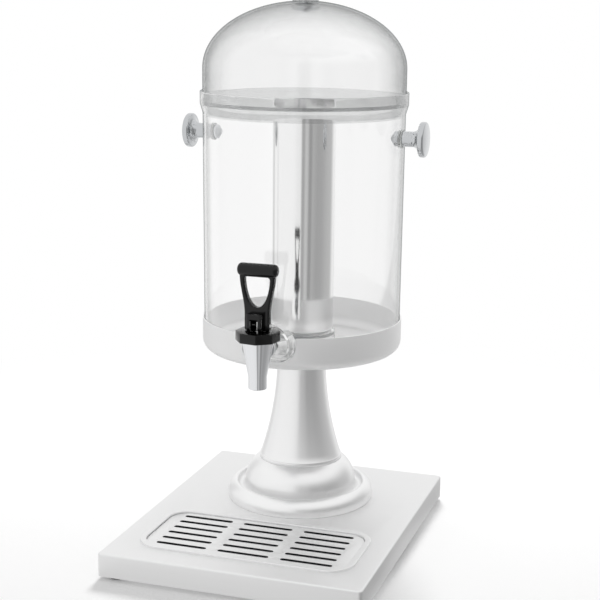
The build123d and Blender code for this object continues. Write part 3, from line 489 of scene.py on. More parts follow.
class Pen:
    """Draws an outline in edit mode by extruding and spinning one vertex."""

    def __init__(self, name, lathe, radius, height):
        self.lathe = lathe
        self.points = [Vector((radius, height))]
        self.rounds = {}
        self.obj = start_piece(name, bpy.ops.mesh.primitive_plane_add)
        bpy.ops.object.mode_set(mode="EDIT")
        select_whole()
        bpy.ops.mesh.merge(type="CENTER")
        bpy.ops.transform.translate(value=lathe.at(radius, height))

    def line(self, radius, height, rounding=0.0):
        """Draw straight to a point, whose corner may be rounded later."""
        here = self.points[-1]
        extrude(self.lathe.at(radius, height) - self.lathe.at(*here))
        if rounding:
            self.rounds[len(self.points)] = rounding
        self.points.append(Vector((radius, height)))

    def arc(self, radius, height, turn, steps=8):
        """Draw an arc about a centre, turning from the radius towards the axis for a positive angle."""
        centre = Vector((radius, height))
        bpy.ops.mesh.spin(
            steps=steps,
            angle=turn,
            center=self.lathe.at(radius, height),
            axis=self.lathe.axis.cross(self.lathe.side),
        )
        arm = self.points[-1] - centre
        for step in range(1, steps + 1):
            self.points.append(centre + Matrix.Rotation(turn * step / steps, 2) @ arm)

    def bulge(self, radius, height, sagitta, steps=16):
        """Draw an arc to a point, swelling to the right of the way there by a sagitta."""
        here = self.points[-1]
        there = Vector((radius, height))
        chord = there - here
        swell = (chord.length_squared / 4 + sagitta**2) / (2 * sagitta)
        across = Vector((-chord.y, chord.x)).normalized()
        centre = (here + there) / 2 + across * (swell - sagitta)
        turn = 2 * math.asin(chord.length / 2 / abs(swell))
        self.arc(centre.x, centre.y, math.copysign(turn, swell), steps)

    def close(self):
        """Draw back to the first point."""
        extrude(self.lathe.at(*self.points[0]) - self.lathe.at(*self.points[-1]))
        merge_doubles()

    def round_corners(self):
        """Round the marked corners of the outline."""
        total = len(self.points)
        for index, rounding in self.rounds.items():
            corner = self.points[index]
            into = corner - self.points[index - 1]
            out = self.points[(index + 1) % total] - corner
            place = self.lathe.at(*corner)
            select("VERT", lambda vertex: (vertex.co - place).length < MERGE_DISTANCE)
            reach = rounding * math.tan(into.angle(out) / 2)
            bpy.ops.mesh.bevel(offset=reach, segments=CORNER_STEPS, affect="VERTICES")

    def revolve(self, steps=TURN_STEPS):
        """Spin the outline right round its lathe."""
        self.round_corners()
        select_whole()
        bpy.ops.mesh.spin(
            steps=steps, angle=2 * math.pi, center=self.lathe.origin, axis=self.lathe.axis
        )
        merge_doubles()
        self.face_outwards()
        bpy.ops.object.mode_set(mode="OBJECT")
        return self.obj

    def face_outwards(self):
        """Flip the faces if those furthest from the axis look inwards."""
        mesh = bmesh.from_edit_mesh(self.obj.data)

        def outward(face):
            arm = face.calc_center_median() - self.lathe.origin
            return arm - self.lathe.axis * arm.dot(self.lathe.axis)

        furthest = max(mesh.faces, key=lambda face: outward(face).length)
        if furthest.normal.dot(outward(furthest)) < 0:
            bpy.ops.mesh.flip_normals()

    def prism(self, step):
        """Fill the closed outline and extrude it."""
        self.round_corners()
        select_whole()
        bpy.ops.mesh.edge_face_add()
        extrude(step)
        merge_doubles()
        bpy.ops.object.mode_set(mode="OBJECT")
        return self.obj


def draw(name, lathe, outline, closed):
    """Draw straight lines between points, each a radius, a height and perhaps the rounding of its corner."""
    pen = Pen(name, lathe, *outline[0])
    for point in outline[1:]:
        pen.line(*point)
    if closed:
        pen.close()
    return pen


def rounded_slab(name, low, high, radius):
    """Make a slab between two corners, with round upright corners."""
    size = high - low
    slab = start_piece(name, bpy.ops.mesh.primitive_plane_add, size=1.0)
    with editing(slab):
        select_whole()
        bpy.ops.transform.resize(value=(size.x, size.y, 1.0))
        bpy.ops.transform.translate(value=((low.x + high.x) / 2, (low.y + high.y) / 2, low.z))
        bpy.ops.mesh.bevel(offset=radius, segments=2 * CORNER_STEPS, affect="VERTICES")
        bpy.ops.mesh.select_all(action="SELECT")
        extrude(UP * size.z)
        merge_doubles()
    return slab


def round_bar(name, start, end, radius, steps=BAR_STEPS):
    """Make a plain round bar between two places."""
    along = Vector(end) - Vector(start)
    lathe = Lathe(start, along.normalized(), along.orthogonal().normalized())
    outline = [(0, 0), (radius, 0), (radius, along.length), (0, along.length)]
    return draw(name, lathe, outline, closed=False).revolve(steps)


def spread(obj, places):
    """Copy a piece from the first place to the others and join the copies with it."""
    copies = []
    for place in places[1:]:
        activate(obj)
        bpy.ops.object.duplicate()
        bpy.ops.transform.translate(value=Vector(place) - Vector(places[0]))
        bpy.ops.object.transform_apply(location=True, rotation=False, scale=False)
        copies.append(bpy.context.object)
    activate(obj, *copies)
    bpy.ops.object.join()
    return obj


def dress(obj, material, body, slot, *nodes):
    """Finish a piece: shading, material, the body that carries it and the nodes it stands for."""
    activate(obj)
    bpy.ops.object.shade_smooth_by_angle(angle=SMOOTH_ANGLE)
    obj.data.materials.clear()
    obj.data.materials.append(material)
    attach(obj, body)
    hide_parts(*nodes)


# Materials

def add(tree, kind, links=None, values=None, **settings):
    """Add a shader node with its settings, input values and links."""
    node = tree.nodes.new(kind)
    for key, value in settings.items():
        setattr(node, key, value)
    for key, value in (values or {}).items():
        node.inputs[key].default_value = value
    for key, socket in (links or {}).items():
        tree.links.new(socket, node.inputs[key])
    return node


def material_tree(name):
    """Start a material and give it with its empty node tree."""
    surface = bpy.data.materials.new(name)
    surface.use_nodes = True
    surface.node_tree.nodes.clear()
    return surface, surface.node_tree


def plain_surface(name, colour, **values):
    """Make a material from shader values alone."""
    surface, tree = material_tree(name)
    inputs = {"Base Color": (*linear(colour), 1.0), **values}
    shader = add(tree, "ShaderNodeBsdfPrincipled", values=inputs)
    add(tree, "ShaderNodeOutputMaterial", links={"Surface": shader.outputs["BSDF"]})
    return surface


def grained_surface(name, colour, grain, relief, roughness, **values):
    """Make a material with a fine grain that varies its roughness and its height.

    The grain's size along X, Y and Z and its relief are in millimetres, and the roughness varies between two
    values. A real grain, of 0.05 mm and less, is too fine to show in the render, so it is drawn coarser.
    """
    surface, tree = material_tree(name)
    place = add(tree, "ShaderNodeTexCoord")
    scale = [1000 / size for size in grain]
    stretched = add(tree, "ShaderNodeMapping", {"Vector": place.outputs["Object"]}, {"Scale": scale})
    noise = add(
        tree, "ShaderNodeTexNoise", {"Vector": stretched.outputs["Vector"]}, {"Scale": 1.0, "Detail": 3.0}
    )
    rough = add(
        tree,
        "ShaderNodeMapRange",
        {"Value": noise.outputs["Fac"]},
        {"To Min": min(roughness), "To Max": max(roughness)},
    )
    bump = add(
        tree,
        "ShaderNodeBump",
        {"Height": noise.outputs["Fac"]},
        {"Strength": 1.0, "Distance": relief / 1000},
    )
    shader = add(
        tree,
        "ShaderNodeBsdfPrincipled",
        {"Roughness": rough.outputs["Result"], "Normal": bump.outputs["Normal"]},
        {"Base Color": (*linear(colour), 1.0), **values},
    )
    add(tree, "ShaderNodeOutputMaterial", links={"Surface": shader.outputs["BSDF"]})
    return surface


def brushed_sheet_steel():
    """Flat stainless sheet with a straight brushed grain, which blurs reflections sideways."""
    return grained_surface(
        "satin_stainless_sheet",
        "#f0f0f0",
        grain=(25, 0.4, 0.4),
        relief=0.002,
        roughness=(0.47, 0.57),
        Metallic=1.0,
    )


def painted_shade_below(name, level, shade_colour):
    """Make brushed sheet steel with painted shade, dark below a height."""
    surface = brushed_sheet_steel()
    surface.name = name
    tree = surface.node_tree
    place = add(tree, "ShaderNodeTexCoord")
    height = add(tree, "ShaderNodeSeparateXYZ", {"Vector": place.outputs["Object"]})
    rise = add(
        tree,
        "ShaderNodeMapRange",
        {"Value": height.outputs["Z"]},
        {"From Min": level - SHADE_BLEND, "From Max": level},
    )
    shader = next(node for node in tree.nodes if node.type == "BSDF_PRINCIPLED")
    # Painted shade: below the level the steel's colour turns dark
    colour = add(
        tree,
        "ShaderNodeMix",
        {"Factor": rise.outputs["Result"]},
        {6: (*linear(shade_colour), 1.0), 7: shader.inputs["Base Color"].default_value},
        data_type="RGBA",
    )
    tree.links.new(colour.outputs[2], shader.inputs["Base Color"])
    return surface


def tray_steel():
    """Pressed stainless tray, bright on its rim, with painted shade in the well so that the slots over it
    read dark.
    """
    return painted_shade_below("stainless_drip_tray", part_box("drip_grille")[0].z, "#5c5e60")


def grille_steel():
    """Punched stainless sheet, brushed on its face, with painted shade that darkens the cut walls of the
    slots.
    """
    return painted_shade_below("stainless_punched_sheet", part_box("drip_grille")[1].z - SHADE_BLEND, "#2a2b2c")


def spun_steel():
    """Spun stainless with a fine grain round the axis, which softens the bands of light."""
    return grained_surface(
        "satin_stainless_spun",
        "#f3f3f3",
        grain=(16.7, 16.7, 0.4),
        relief=0.002,
        roughness=(0.28, 0.38),
        Metallic=1.0,
    )


def cup_steel():
    """Drawn stainless with a coarse satin finish, which scatters light and blurs the room to an even grey."""
    return grained_surface(
        "satin_stainless_drawn",
        "#f2f2f2",
        grain=(11.1, 11.1, 0.556),
        relief=0.002,
        roughness=(0.42, 0.58),
        Metallic=0.6,
    )


def polished_steel():
    """Drawn stainless tube with a bright polish and faint upright drawing lines."""
    return grained_surface(
        "polished_stainless_tube",
        "#f0f0f0",
        grain=(0.667, 0.667, 83.3),
        relief=0.001,
        roughness=(0.08, 0.14),
        Metallic=1.0,
    )


def zinc_steel():
    """Zinc plated fasteners, a little blue and dull."""
    return grained_surface(
        "zinc_plated_steel",
        "#b9bdc2",
        grain=(1.11, 1.11, 1.11),
        relief=0.002,
        roughness=(0.34, 0.5),
        Metallic=1.0,
    )


def chrome():
    """Chrome plate, a sharp mirror that shows the room."""
    return plain_surface("chrome_plate", "#e3e4e6", Metallic=1.0, Roughness=0.07)


def knob_chrome():
    """Chrome plate on cast knobs, a greyer mirror that stands out from a white room."""
    return plain_surface("chrome_plate_cast", "#c4c6c8", Metallic=1.0, Roughness=0.09)


def see_through(name, edge_shade_colour, edge_shade_power, painted_veil, shade_band, shade_band_share):
    """Make a moulded clear plastic with painted shade: its slanting faces turn to a grey tint, which draws
    its edges dark in place of the lines that reflections draw.

    A painted veil above 0 leaves some of that painted grey on faces seen straight on. A band between two
    heights has at least its own share of the painted grey. Light that comes from a lamp or from another
    surface goes straight through.
    """
    surface, tree = material_tree(name)
    clear = add(
        tree,
        "ShaderNodeBsdfPrincipled",
        values={
            "Base Color": (*linear("#fefefe"), 1.0),
            "Roughness": 0.015,
            "IOR": 1.585,
            "Transmission Weight": 1.0,
        },
    )
    slant = add(tree, "ShaderNodeLayerWeight")
    rise = add(
        tree,
        "ShaderNodeMapRange",
        {"Value": slant.outputs["Facing"]},
        {"From Min": SLANT_START, "From Max": SLANT_END, "To Min": painted_veil},
    )
    edge = add(tree, "ShaderNodeMath", {0: rise.outputs["Result"]}, {1: edge_shade_power}, operation="POWER")
    low, high = shade_band
    place = add(tree, "ShaderNodeTexCoord")
    height = add(tree, "ShaderNodeSeparateXYZ", {"Vector": place.outputs["Object"]})
    within = add(
        tree,
        "ShaderNodeMath",
        {0: height.outputs["Z"]},
        {1: (low + high) / 2, 2: (high - low) / 2},
        operation="COMPARE",
    )
    band_shade = add(tree, "ShaderNodeMath", {0: within.outputs["Value"]}, {1: shade_band_share}, operation="MULTIPLY")
    share = add(
        tree, "ShaderNodeMath", {0: edge.outputs["Value"], 1: band_shade.outputs["Value"]}, operation="MAXIMUM"
    )
    # Painted shade: a grey see-through tint on slanting faces and on the band
    shade_tint = add(tree, "ShaderNodeBsdfTransparent", values={"Color": (*linear(edge_shade_colour), 1.0)})
    shaded_edges = add(
        tree,
        "ShaderNodeMixShader",
        {0: share.outputs["Value"], 1: clear.outputs["BSDF"], 2: shade_tint.outputs["BSDF"]},
    )
    open_way = add(tree, "ShaderNodeBsdfTransparent", values={"Color": WHITE})
    path = add(tree, "ShaderNodeLightPath")
    through = add(
        tree,
        "ShaderNodeMath",
        {0: path.outputs["Is Shadow Ray"], 1: path.outputs["Is Reflection Ray"]},
        operation="MAXIMUM",
    )
    mix = add(
        tree,
        "ShaderNodeMixShader",
        {0: through.outputs["Value"], 1: shaded_edges.outputs["Shader"], 2: open_way.outputs["BSDF"]},
    )
    add(tree, "ShaderNodeOutputMaterial", links={"Surface": mix.outputs["Shader"]})
    return surface


def clear_plastic():
    """Clear polycarbonate of the tank, with painted shade: thin grey edges, and a greyer painted band on its
    bonded rim.
    """
    low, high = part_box("tank_rim")
    return see_through(
        "clear_polycarbonate", "#b4b6b6", edge_shade_power=5.0, painted_veil=0.0, shade_band=(low.z, high.z), shade_band_share=0.19
    )


def lid_plastic():
    """Clear polycarbonate of the lid, with painted shade: a grey veil over what is behind in place of the
    dome's reflections, a darker outline, and a grey band at its lower edge.
    """
    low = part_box("lid_dome")[0]
    shade_band = (low.z, low.z + LID_SHADE_BAND)
    return see_through(
        "clear_polycarbonate_painted_veil", "#b4b6b6", edge_shade_power=2.0, painted_veil=0.17, shade_band=shade_band, shade_band_share=0.55
    )


def black_plastic():
    """Moulded black ABS, glossy with a faint unevenness."""
    return grained_surface(
        "black_abs",
        "#060606",
        grain=(4, 4, 4),
        relief=0.004,
        roughness=(0.1, 0.18),
        **{"Specular IOR Level": 0.35},
    )


def grey_plastic():
    """Moulded acetal nut, dark grey and matt."""
    return grained_surface(
        "grey_acetal", "#55585b", grain=(2.5, 2.5, 2.5), relief=0.003, roughness=(0.45, 0.55)
    )


def silicone():
    """Moulded silicone, soft and milky, which lets some light through."""
    return plain_surface(
        "milky_silicone", "#eceeed", Roughness=0.45, **{"Transmission Weight": 0.4, "IOR": 1.41}
    )


def rubber():
    """Moulded foot rubber, black and matt with a fine grain."""
    return grained_surface(
        "black_rubber", "#161616", grain=(1.25, 1.25, 1.25), relief=0.01, roughness=(0.67, 0.83)
    )


made_materials = {}


def material(maker):
    """Give a material, made the first time it is asked for."""
    if maker.__name__ not in made_materials:
        made_materials[maker.__name__] = maker()
    return made_materials[maker.__name__]


# Pieces

class DISPENSER_OT_base(bpy.types.Operator):
    """Fold the base cover and mould its four feet"""

    bl_idname = "dispenser.base"
    bl_label = "Base"

    def execute(self, context):
        settings = context.scene.dispenser_base
        self.fold_cover(settings, context.scene.dispenser_tray)
        self.mould_feet(settings)
        return {"FINISHED"}

    def fold_cover(self, settings, tray):
        """Fold the cover from sheet, and cut the openings for the tray and under the base."""
        low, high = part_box("base_cover")
        cover = rounded_slab("base_shell", low, high, settings.corner_radius)
        with editing(cover):
            select("EDGE", at_height(high.z))
            bpy.ops.mesh.bevel(offset=settings.fold_radius, segments=CORNER_STEPS, affect="EDGES")
        thicken(cover, settings.sheet)
        lip = Vector((settings.lip_width, settings.lip_width, 0))
        sink = UP * settings.sheet
        lip_low = low + lip - sink
        lip_high = Vector((*(high - lip).xy, low.z)) + 2 * sink
        combine(cover, rounded_slab("lip_opening", lip_low, lip_high, settings.corner_radius), "DIFFERENCE")
        tray_low, tray_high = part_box("drip_tray")
        overlap = Vector((tray.rim_overlap, tray.rim_overlap, 0))
        opening = rounded_slab(
            "tray_opening", tray_low + overlap, tray_high - overlap, tray.corner_radius - tray.rim_overlap
        )
        combine(cover, opening, "DIFFERENCE")
        soften(cover, settings.edge)
        dress(cover, material(brushed_sheet_steel), "stand", "satin_steel", "base_cover")

    def mould_feet(self, settings):
        """Mould one foot with its screw recess, and copy it to the four corners."""
        low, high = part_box("base_feet")
        radius = settings.foot_diameter / 2
        places = [
            (x, y, 0) for x in (low.x + radius, high.x - radius) for y in (low.y + radius, high.y - radius)
        ]
        outline = [
            (settings.hole_radius, high.z),
            (radius, high.z),
            (radius, low.z, settings.foot_edge),
            (settings.recess_radius, low.z),
            (settings.recess_radius, settings.recess_depth),
            (settings.hole_radius, settings.recess_depth),
        ]
        foot = draw("rubber_feet", Lathe(places[0], UP, RIGHT), outline, closed=True).revolve(SMALL_STEPS)
        feet = spread(foot, places)
        dress(feet, material(rubber), "stand", "foot_rubber", "base_feet")


class DISPENSER_OT_drip_tray(bpy.types.Operator):
    """Press the drip tray and punch its grille"""

    bl_idname = "dispenser.drip_tray"
    bl_label = "Drip Tray"

    def execute(self, context):
        settings = context.scene.dispenser_tray
        self.press_tray(settings)
        self.punch_grille(settings)
        return {"FINISHED"}

    def press_tray(self, settings):
        """Press the rim, the ledge for the grille and the well from one sheet."""
        low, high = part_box("drip_tray")
        rim_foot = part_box("base_cover")[1].z
        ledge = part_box("drip_grille")[0].z
        floor = low.z + settings.sheet
        tray = rounded_slab(
            "pressed_tray", Vector((low.x, low.y, rim_foot)), high, settings.corner_radius
        )
        with editing(tray):
            select("FACE", facing(-UP, rim_foot))
            bpy.ops.mesh.delete(type="FACE")
            select("FACE", facing(UP, high.z))
            bpy.ops.mesh.inset(thickness=settings.rim_width + settings.sheet)
            extrude(UP * (ledge - high.z))
            bpy.ops.mesh.inset(thickness=settings.ledge_width + settings.sheet)
            extrude(UP * (floor - ledge))
            select("EDGE", at_height(high.z))
            bpy.ops.mesh.bevel(offset=settings.rim_round, segments=4, affect="EDGES")
            select("EDGE", at_height(floor))
            bpy.ops.mesh.bevel(offset=settings.well_radius, segments=4, affect="EDGES")
        thicken(tray, settings.sheet)
        dress(tray, material(tray_steel), "drip_tray", "satin_steel", "drip_tray")

    def punch_grille(self, settings):
        """Cut the grille and punch its banks of slots."""
        low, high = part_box("drip_grille")
        inset = settings.rim_width + settings.sheet + settings.grille_gap
        grille = rounded_slab("slotted_grille", low, high, settings.corner_radius - inset)
        middle = (low + high) / 2
        half = Vector((settings.slot_length, settings.slot_width, high.z - low.z + 2 * settings.sheet)) / 2
        columns = self.evenly(settings.slot_columns, settings.pitch_across)
        rows = self.evenly(settings.slot_rows, settings.pitch_along)
        places = [middle + Vector((x, y, 0)) for x in columns for y in rows]
        slot = rounded_slab(
            "slot", places[0] - half, places[0] + half, settings.slot_width / 2 - MERGE_DISTANCE
        )
        combine(grille, spread(slot, places), "DIFFERENCE")
        soften(grille, settings.slot_edge)
        dress(grille, material(grille_steel), "drip_grille", "satin_steel", "drip_grille")

    def evenly(self, total, pitch):
        """Give places a pitch apart, with their middle at 0."""
        return [(index - (total - 1) / 2) * pitch for index in range(total)]


class DISPENSER_OT_pedestal(bpy.types.Operator):
    """Spin the flange and the trumpet column"""

    bl_idname = "dispenser.pedestal"
    bl_label = "Pedestal"

    def execute(self, context):
        settings = context.scene.dispenser_pedestal
        self.spin_flange(settings)
        self.spin_column(settings)
        return {"FINISHED"}

    def spin_flange(self, settings):
        """Spin the flange: an outer roll, a groove, and the bell up to the column's ring."""
        low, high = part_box("pedestal_flange")
        roll_centre = high.x - settings.roll_radius
        roll_z = low.z + settings.roll_height
        start_turn = math.asin(-settings.roll_height / settings.roll_radius)
        reach = settings.groove_radius + settings.groove_edge - roll_centre
        edge_turn = math.acos(reach / (settings.roll_radius - settings.groove_edge))
        edge_z = roll_z + (settings.roll_radius - settings.groove_edge) * math.sin(edge_turn)
        roll_rise = math.sqrt(settings.roll_radius**2 - (settings.groove_radius - roll_centre) ** 2)
        cove = (settings.groove_radius - settings.bell_radius) / 2
        cove_z = roll_z + roll_rise - settings.groove_depth + cove
        bell_top = settings.column_foot + settings.ring_step + settings.bell_margin
        pen = Pen(
            "spun_flange",
            upright("pedestal_flange"),
            roll_centre + settings.roll_radius * math.cos(start_turn),
            low.z,
        )
        pen.arc(roll_centre, roll_z, edge_turn - start_turn, steps=20)
        pen.arc(settings.groove_radius + settings.groove_edge, edge_z, math.pi - edge_turn)
        pen.line(settings.groove_radius, cove_z)
        pen.arc(settings.groove_radius - cove, cove_z, -math.pi)
        pen.line(settings.bell_radius, low.z + settings.bell_shoulder)
        pen.bulge(bell_top, high.z, settings.bell_bulge)
        pen.line(settings.lip_radius, high.z)
        flange = pen.revolve()
        thicken(flange, settings.sheet)
        soften(flange, settings.edge)
        dress(flange, material(spun_steel), "stand", "satin_steel", "pedestal_flange")

    def spin_column(self, settings):
        """Spin the hollow column with the ring round its foot."""
        low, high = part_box("pedestal_column")
        ring_radius = high.x
        ring_z = low.z + settings.ring_height
        pen = Pen("trumpet_column", upright("pedestal_column"), ring_radius, low.z)
        pen.line(ring_radius, ring_z)
        pen.line(settings.column_foot, ring_z)
        pen.bulge(settings.column_top, high.z, -settings.column_flare)
        pen.line(settings.column_top - settings.sheet, high.z)
        inner_foot = settings.column_foot - settings.sheet
        pen.bulge(inner_foot, ring_z, settings.column_flare)
        pen.line(inner_foot, low.z)
        pen.close()
        column = pen.revolve()
        soften(column, settings.edge)
        dress(column, material(spun_steel), "stand", "satin_steel", "pedestal_column")


def boss_prism(name, tank, inset, back, front):
    """Extrude the arched front of the tap boss between two distances from the tank's axis."""
    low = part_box("tank_vessel")[0]
    facade = Lathe(upright("support_cup").origin + FORWARD * back, UP, RIGHT)
    full_half = tank.boss_width / 2
    half = full_half - inset
    bottom = low.z + tank.boss_bottom + inset
    corner = tank.boss_corner - inset
    rise = tank.boss_top - tank.boss_shoulder
    arch = (full_half**2 + rise**2) / (2 * rise)
    centre_z = low.z + tank.boss_shoulder + rise - arch
    springing = math.acos(half / (arch - inset))
    pen = Pen(name, facade, half, centre_z + (arch - inset) * math.sin(springing))
    pen.arc(0, centre_z, math.pi - 2 * springing, steps=16)
    pen.line(-half, bottom, corner)
    pen.line(half, bottom, corner)
    pen.close()
    return pen.prism(FORWARD * (front - back))


class DISPENSER_OT_cup(bpy.types.Operator):
    """Draw the support cup and cut its notch"""

    bl_idname = "dispenser.cup"
    bl_label = "Support Cup"

    def execute(self, context):
        settings = context.scene.dispenser_cup
        low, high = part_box("support_cup")
        outline = [(0, low.z), (high.x, low.z, settings.corner_radius), (high.x, high.z)]
        cup = draw("drawn_cup", upright("cup_hub"), outline, closed=False).revolve(CUP_STEPS)
        thicken(cup, settings.sheet)
        notch = boss_prism(
            "notch",
            context.scene.dispenser_tank,
            -settings.notch_gap,
            high.x - settings.corner_radius,
            high.x + settings.corner_radius,
        )
        combine(cup, notch, "DIFFERENCE")
        soften(cup, settings.edge)
        dress(cup, material(cup_steel), "stand", "satin_steel", "support_cup")
        return {"FINISHED"}


class DISPENSER_OT_tank(bpy.types.Operator):
    """Mould the tank with its hollow boss, and the rim and ice tube seat that are bonded to it"""

    bl_idname = "dispenser.tank"
    bl_label = "Tank"

    def execute(self, context):
        settings = context.scene.dispenser_tank
        low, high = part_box("tank_vessel")
        lathe = upright("cup_hub")
        vessel = self.turn_vessel(settings, lathe, low)
        boss_front = lathe.origin.y - low.y
        boss_back = settings.foot_radius - settings.corner_radius
        boss = boss_prism("boss", settings, 0, boss_back, boss_front)
        with editing(boss):
            select("EDGE", lambda edge: all(abs(v.co.y - low.y) < MERGE_DISTANCE for v in edge.verts))
            bpy.ops.mesh.bevel(offset=settings.boss_edge, segments=CORNER_STEPS, affect="EDGES")
        core_radius = settings.foot_radius - settings.wall / 2
        core_foot, core_top = lathe.origin + UP * low.z, lathe.origin + UP * high.z
        core = round_bar("core", core_foot, core_top, core_radius, WIDE_STEPS)
        combine(boss, core, "DIFFERENCE")
        combine(vessel, boss, "UNION")
        pocket = boss_prism(
            "pocket", settings, settings.boss_wall, boss_back - settings.wall, boss_front - settings.boss_wall
        )
        combine(vessel, pocket, "DIFFERENCE")
        shank = lathe.origin + UP * (low.z + settings.shank_height)
        shank_front = shank + FORWARD * (boss_front + settings.wall)
        shank_hole = round_bar("shank_hole", shank + FORWARD * boss_back, shank_front, settings.shank_hole)
        combine(vessel, shank_hole, "DIFFERENCE")
        knob_low, knob_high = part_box("knob_right")
        knob = lathe.origin + UP * ((knob_low.z + knob_high.z) / 2)
        knob_hole = round_bar("knob_hole", knob - RIGHT * high.x, knob + RIGHT * high.x, settings.knob_hole)
        combine(vessel, knob_hole, "DIFFERENCE")
        dress(
            vessel,
            material(clear_plastic),
            "tank",
            "clear_plastic",
            "tank_vessel",
            "tank_rim",
            "ice_tube_seat",
        )
        return {"FINISHED"}

    def turn_vessel(self, settings, lathe, low):
        """Turn the wall, floor, rim and seat as one body, because the bonds between them are clear."""
        slope = math.tan(settings.draft)
        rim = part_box("tank_rim")[1]
        lid_seat = rim.z - settings.collar_depth
        taper = lid_seat - settings.collar_taper
        floor = low.z + settings.floor
        mouth = rim.x - settings.collar_wall
        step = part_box("ice_tube_seat")[1]
        recess = step.x - settings.seat_wall
        roof = step.z - settings.seat_wall

        def wall(z):
            return settings.foot_radius + (z - low.z) * slope

        boss_row = low.z + settings.boss_top + settings.boss_edge
        knob_low, knob_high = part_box("knob_right")
        rows = (boss_row, (3 * knob_low.z + knob_high.z) / 4, (knob_low.z + 3 * knob_high.z) / 4)
        outline = [
            (settings.stud_hole, roof),
            (recess, roof),
            (recess, low.z),
            (settings.foot_radius, low.z, settings.corner_radius),
            *[(wall(row), row) for row in rows],
            (wall(taper), taper, settings.collar_blend),
            (rim.x, lid_seat, settings.collar_blend),
            (rim.x, rim.z, settings.mouth_edge),
            (mouth, rim.z, settings.mouth_edge),
            (mouth, lid_seat),
            (wall(lid_seat) - settings.wall, lid_seat),
            *[(wall(row) - settings.wall, row) for row in reversed(rows)],
            (wall(floor) - settings.wall, floor, settings.corner_radius - settings.wall),
            (step.x, floor),
            (step.x, step.z),
            (settings.stud_hole, step.z),
        ]
        return draw("moulded_tank", lathe, outline, closed=True).revolve(WIDE_STEPS)


class DISPENSER_OT_ice_tube(bpy.types.Operator):
    """Draw the closed ice tube"""

    bl_idname = "dispenser.ice_tube"
    bl_label = "Ice Tube"

    def execute(self, context):
        settings = context.scene.dispenser_ice_tube
        low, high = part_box("ice_tube")
        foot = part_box("ice_tube_gasket")[1].z
        radius = high.x
        bore = radius - settings.wall
        outline = [
            (0, low.z),
            (settings.stud_radius, low.z),
            (settings.stud_radius, foot),
            (radius, foot, settings.foot_radius),
            (radius, high.z, settings.lip),
            (bore, high.z, settings.lip),
            (bore, foot + settings.wall, settings.foot_radius - settings.wall),
            (0, foot + settings.wall),
        ]
        tube = draw("drawn_ice_tube", upright("ice_tube"), outline, closed=False).revolve()
        dress(tube, material(polished_steel), "tank", "polished_steel", "ice_tube")
        return {"FINISHED"}


class DISPENSER_OT_knobs(bpy.types.Operator):
    """Turn the three knobs and their cap nuts"""

    bl_idname = "dispenser.knobs"
    bl_label = "Knobs"

    def execute(self, context):
        settings = context.scene.dispenser_knobs
        self.fit_tank(settings)
        self.fit_lid(settings)
        return {"FINISHED"}

    def fit_tank(self, settings):
        """Turn a knob and a cap nut for each side of the tank."""
        low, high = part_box("knob_right")
        centre = (low + high) / 2
        middle = Vector((0, centre.y, centre.z))
        seat = high.x - settings.body_length
        nut_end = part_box("knob_cap_nuts")[1].x
        for name, node, way in (
            ("chrome_knob_right", "knob_right", RIGHT),
            ("chrome_knob_left", "knob_left", -RIGHT),
        ):
            lathe = Lathe(middle + way * seat, way, UP)
            knob = self.turn_knob(name, settings, lathe, (high.z - low.z) / 2, seat - low.x)
            dress(knob, material(knob_chrome), "tank", "chrome", node)
        nuts = [
            self.turn_nut("tank_cap_nuts", settings, Lathe(middle + way * nut_end, -way, UP))
            for way in (RIGHT, -RIGHT)
        ]
        activate(*nuts)
        bpy.ops.object.join()
        dress(nuts[0], material(knob_chrome), "tank", "chrome", "knob_cap_nuts")

    def fit_lid(self, settings):
        """Turn the lid's upright knob and the cap nut under the dome."""
        low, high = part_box("lid_knob")
        lathe = upright("lid_knob")
        lathe.origin.z = high.z - settings.body_length
        knob = self.turn_knob("chrome_knob_lid", settings, lathe, high.x, lathe.origin.z - low.z)
        dress(knob, material(knob_chrome), "lid", "chrome", "lid_knob")
        lathe = upright("lid_knob_nut")
        lathe.origin.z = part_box("lid_knob_nut")[1].z
        lathe.axis = -UP
        nut = self.turn_nut("lid_cap_nut", settings, lathe)
        dress(nut, material(knob_chrome), "lid", "chrome", "lid_knob_nut")

    def turn_knob(self, name, settings, lathe, head, stud):
        """Turn a mushroom knob with its stud, from the seat of its stem."""
        rim = settings.body_length - settings.crown
        back = rim - settings.head_thickness
        flare = back - settings.stem_length
        sphere = (head**2 + settings.crown**2) / (2 * settings.crown)
        outline = [
            (0, -stud),
            (settings.stud_radius, -stud),
            (settings.stud_radius, 0),
            (settings.stem_radius, 0),
            (settings.stem_radius, settings.stem_length),
        ]
        pen = draw(name, lathe, outline, closed=False)
        pen.arc(settings.stem_radius + flare, settings.stem_length, -math.pi / 2)
        pen.line(head, back, settings.edge)
        pen.line(head, rim, settings.edge)
        pen.arc(0, settings.body_length - sphere, math.asin(head / sphere))
        return pen.revolve(STEM_STEPS)

    def turn_nut(self, name, settings, lathe):
        """Turn a cap nut as large as the lid's, with its blind thread."""
        low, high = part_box("lid_knob_nut")
        whole = high.z - low.z
        outline = [
            (0, settings.nut_bore_depth),
            (settings.nut_bore, settings.nut_bore_depth),
            (settings.nut_bore, 0),
            (high.x, 0, settings.nut_edge),
            (high.x, settings.nut_shank, settings.nut_edge),
            (settings.nut_tip_radius, whole, settings.nut_edge),
            (0, whole),
        ]
        return draw(name, lathe, outline, closed=False).revolve(SMALL_STEPS)


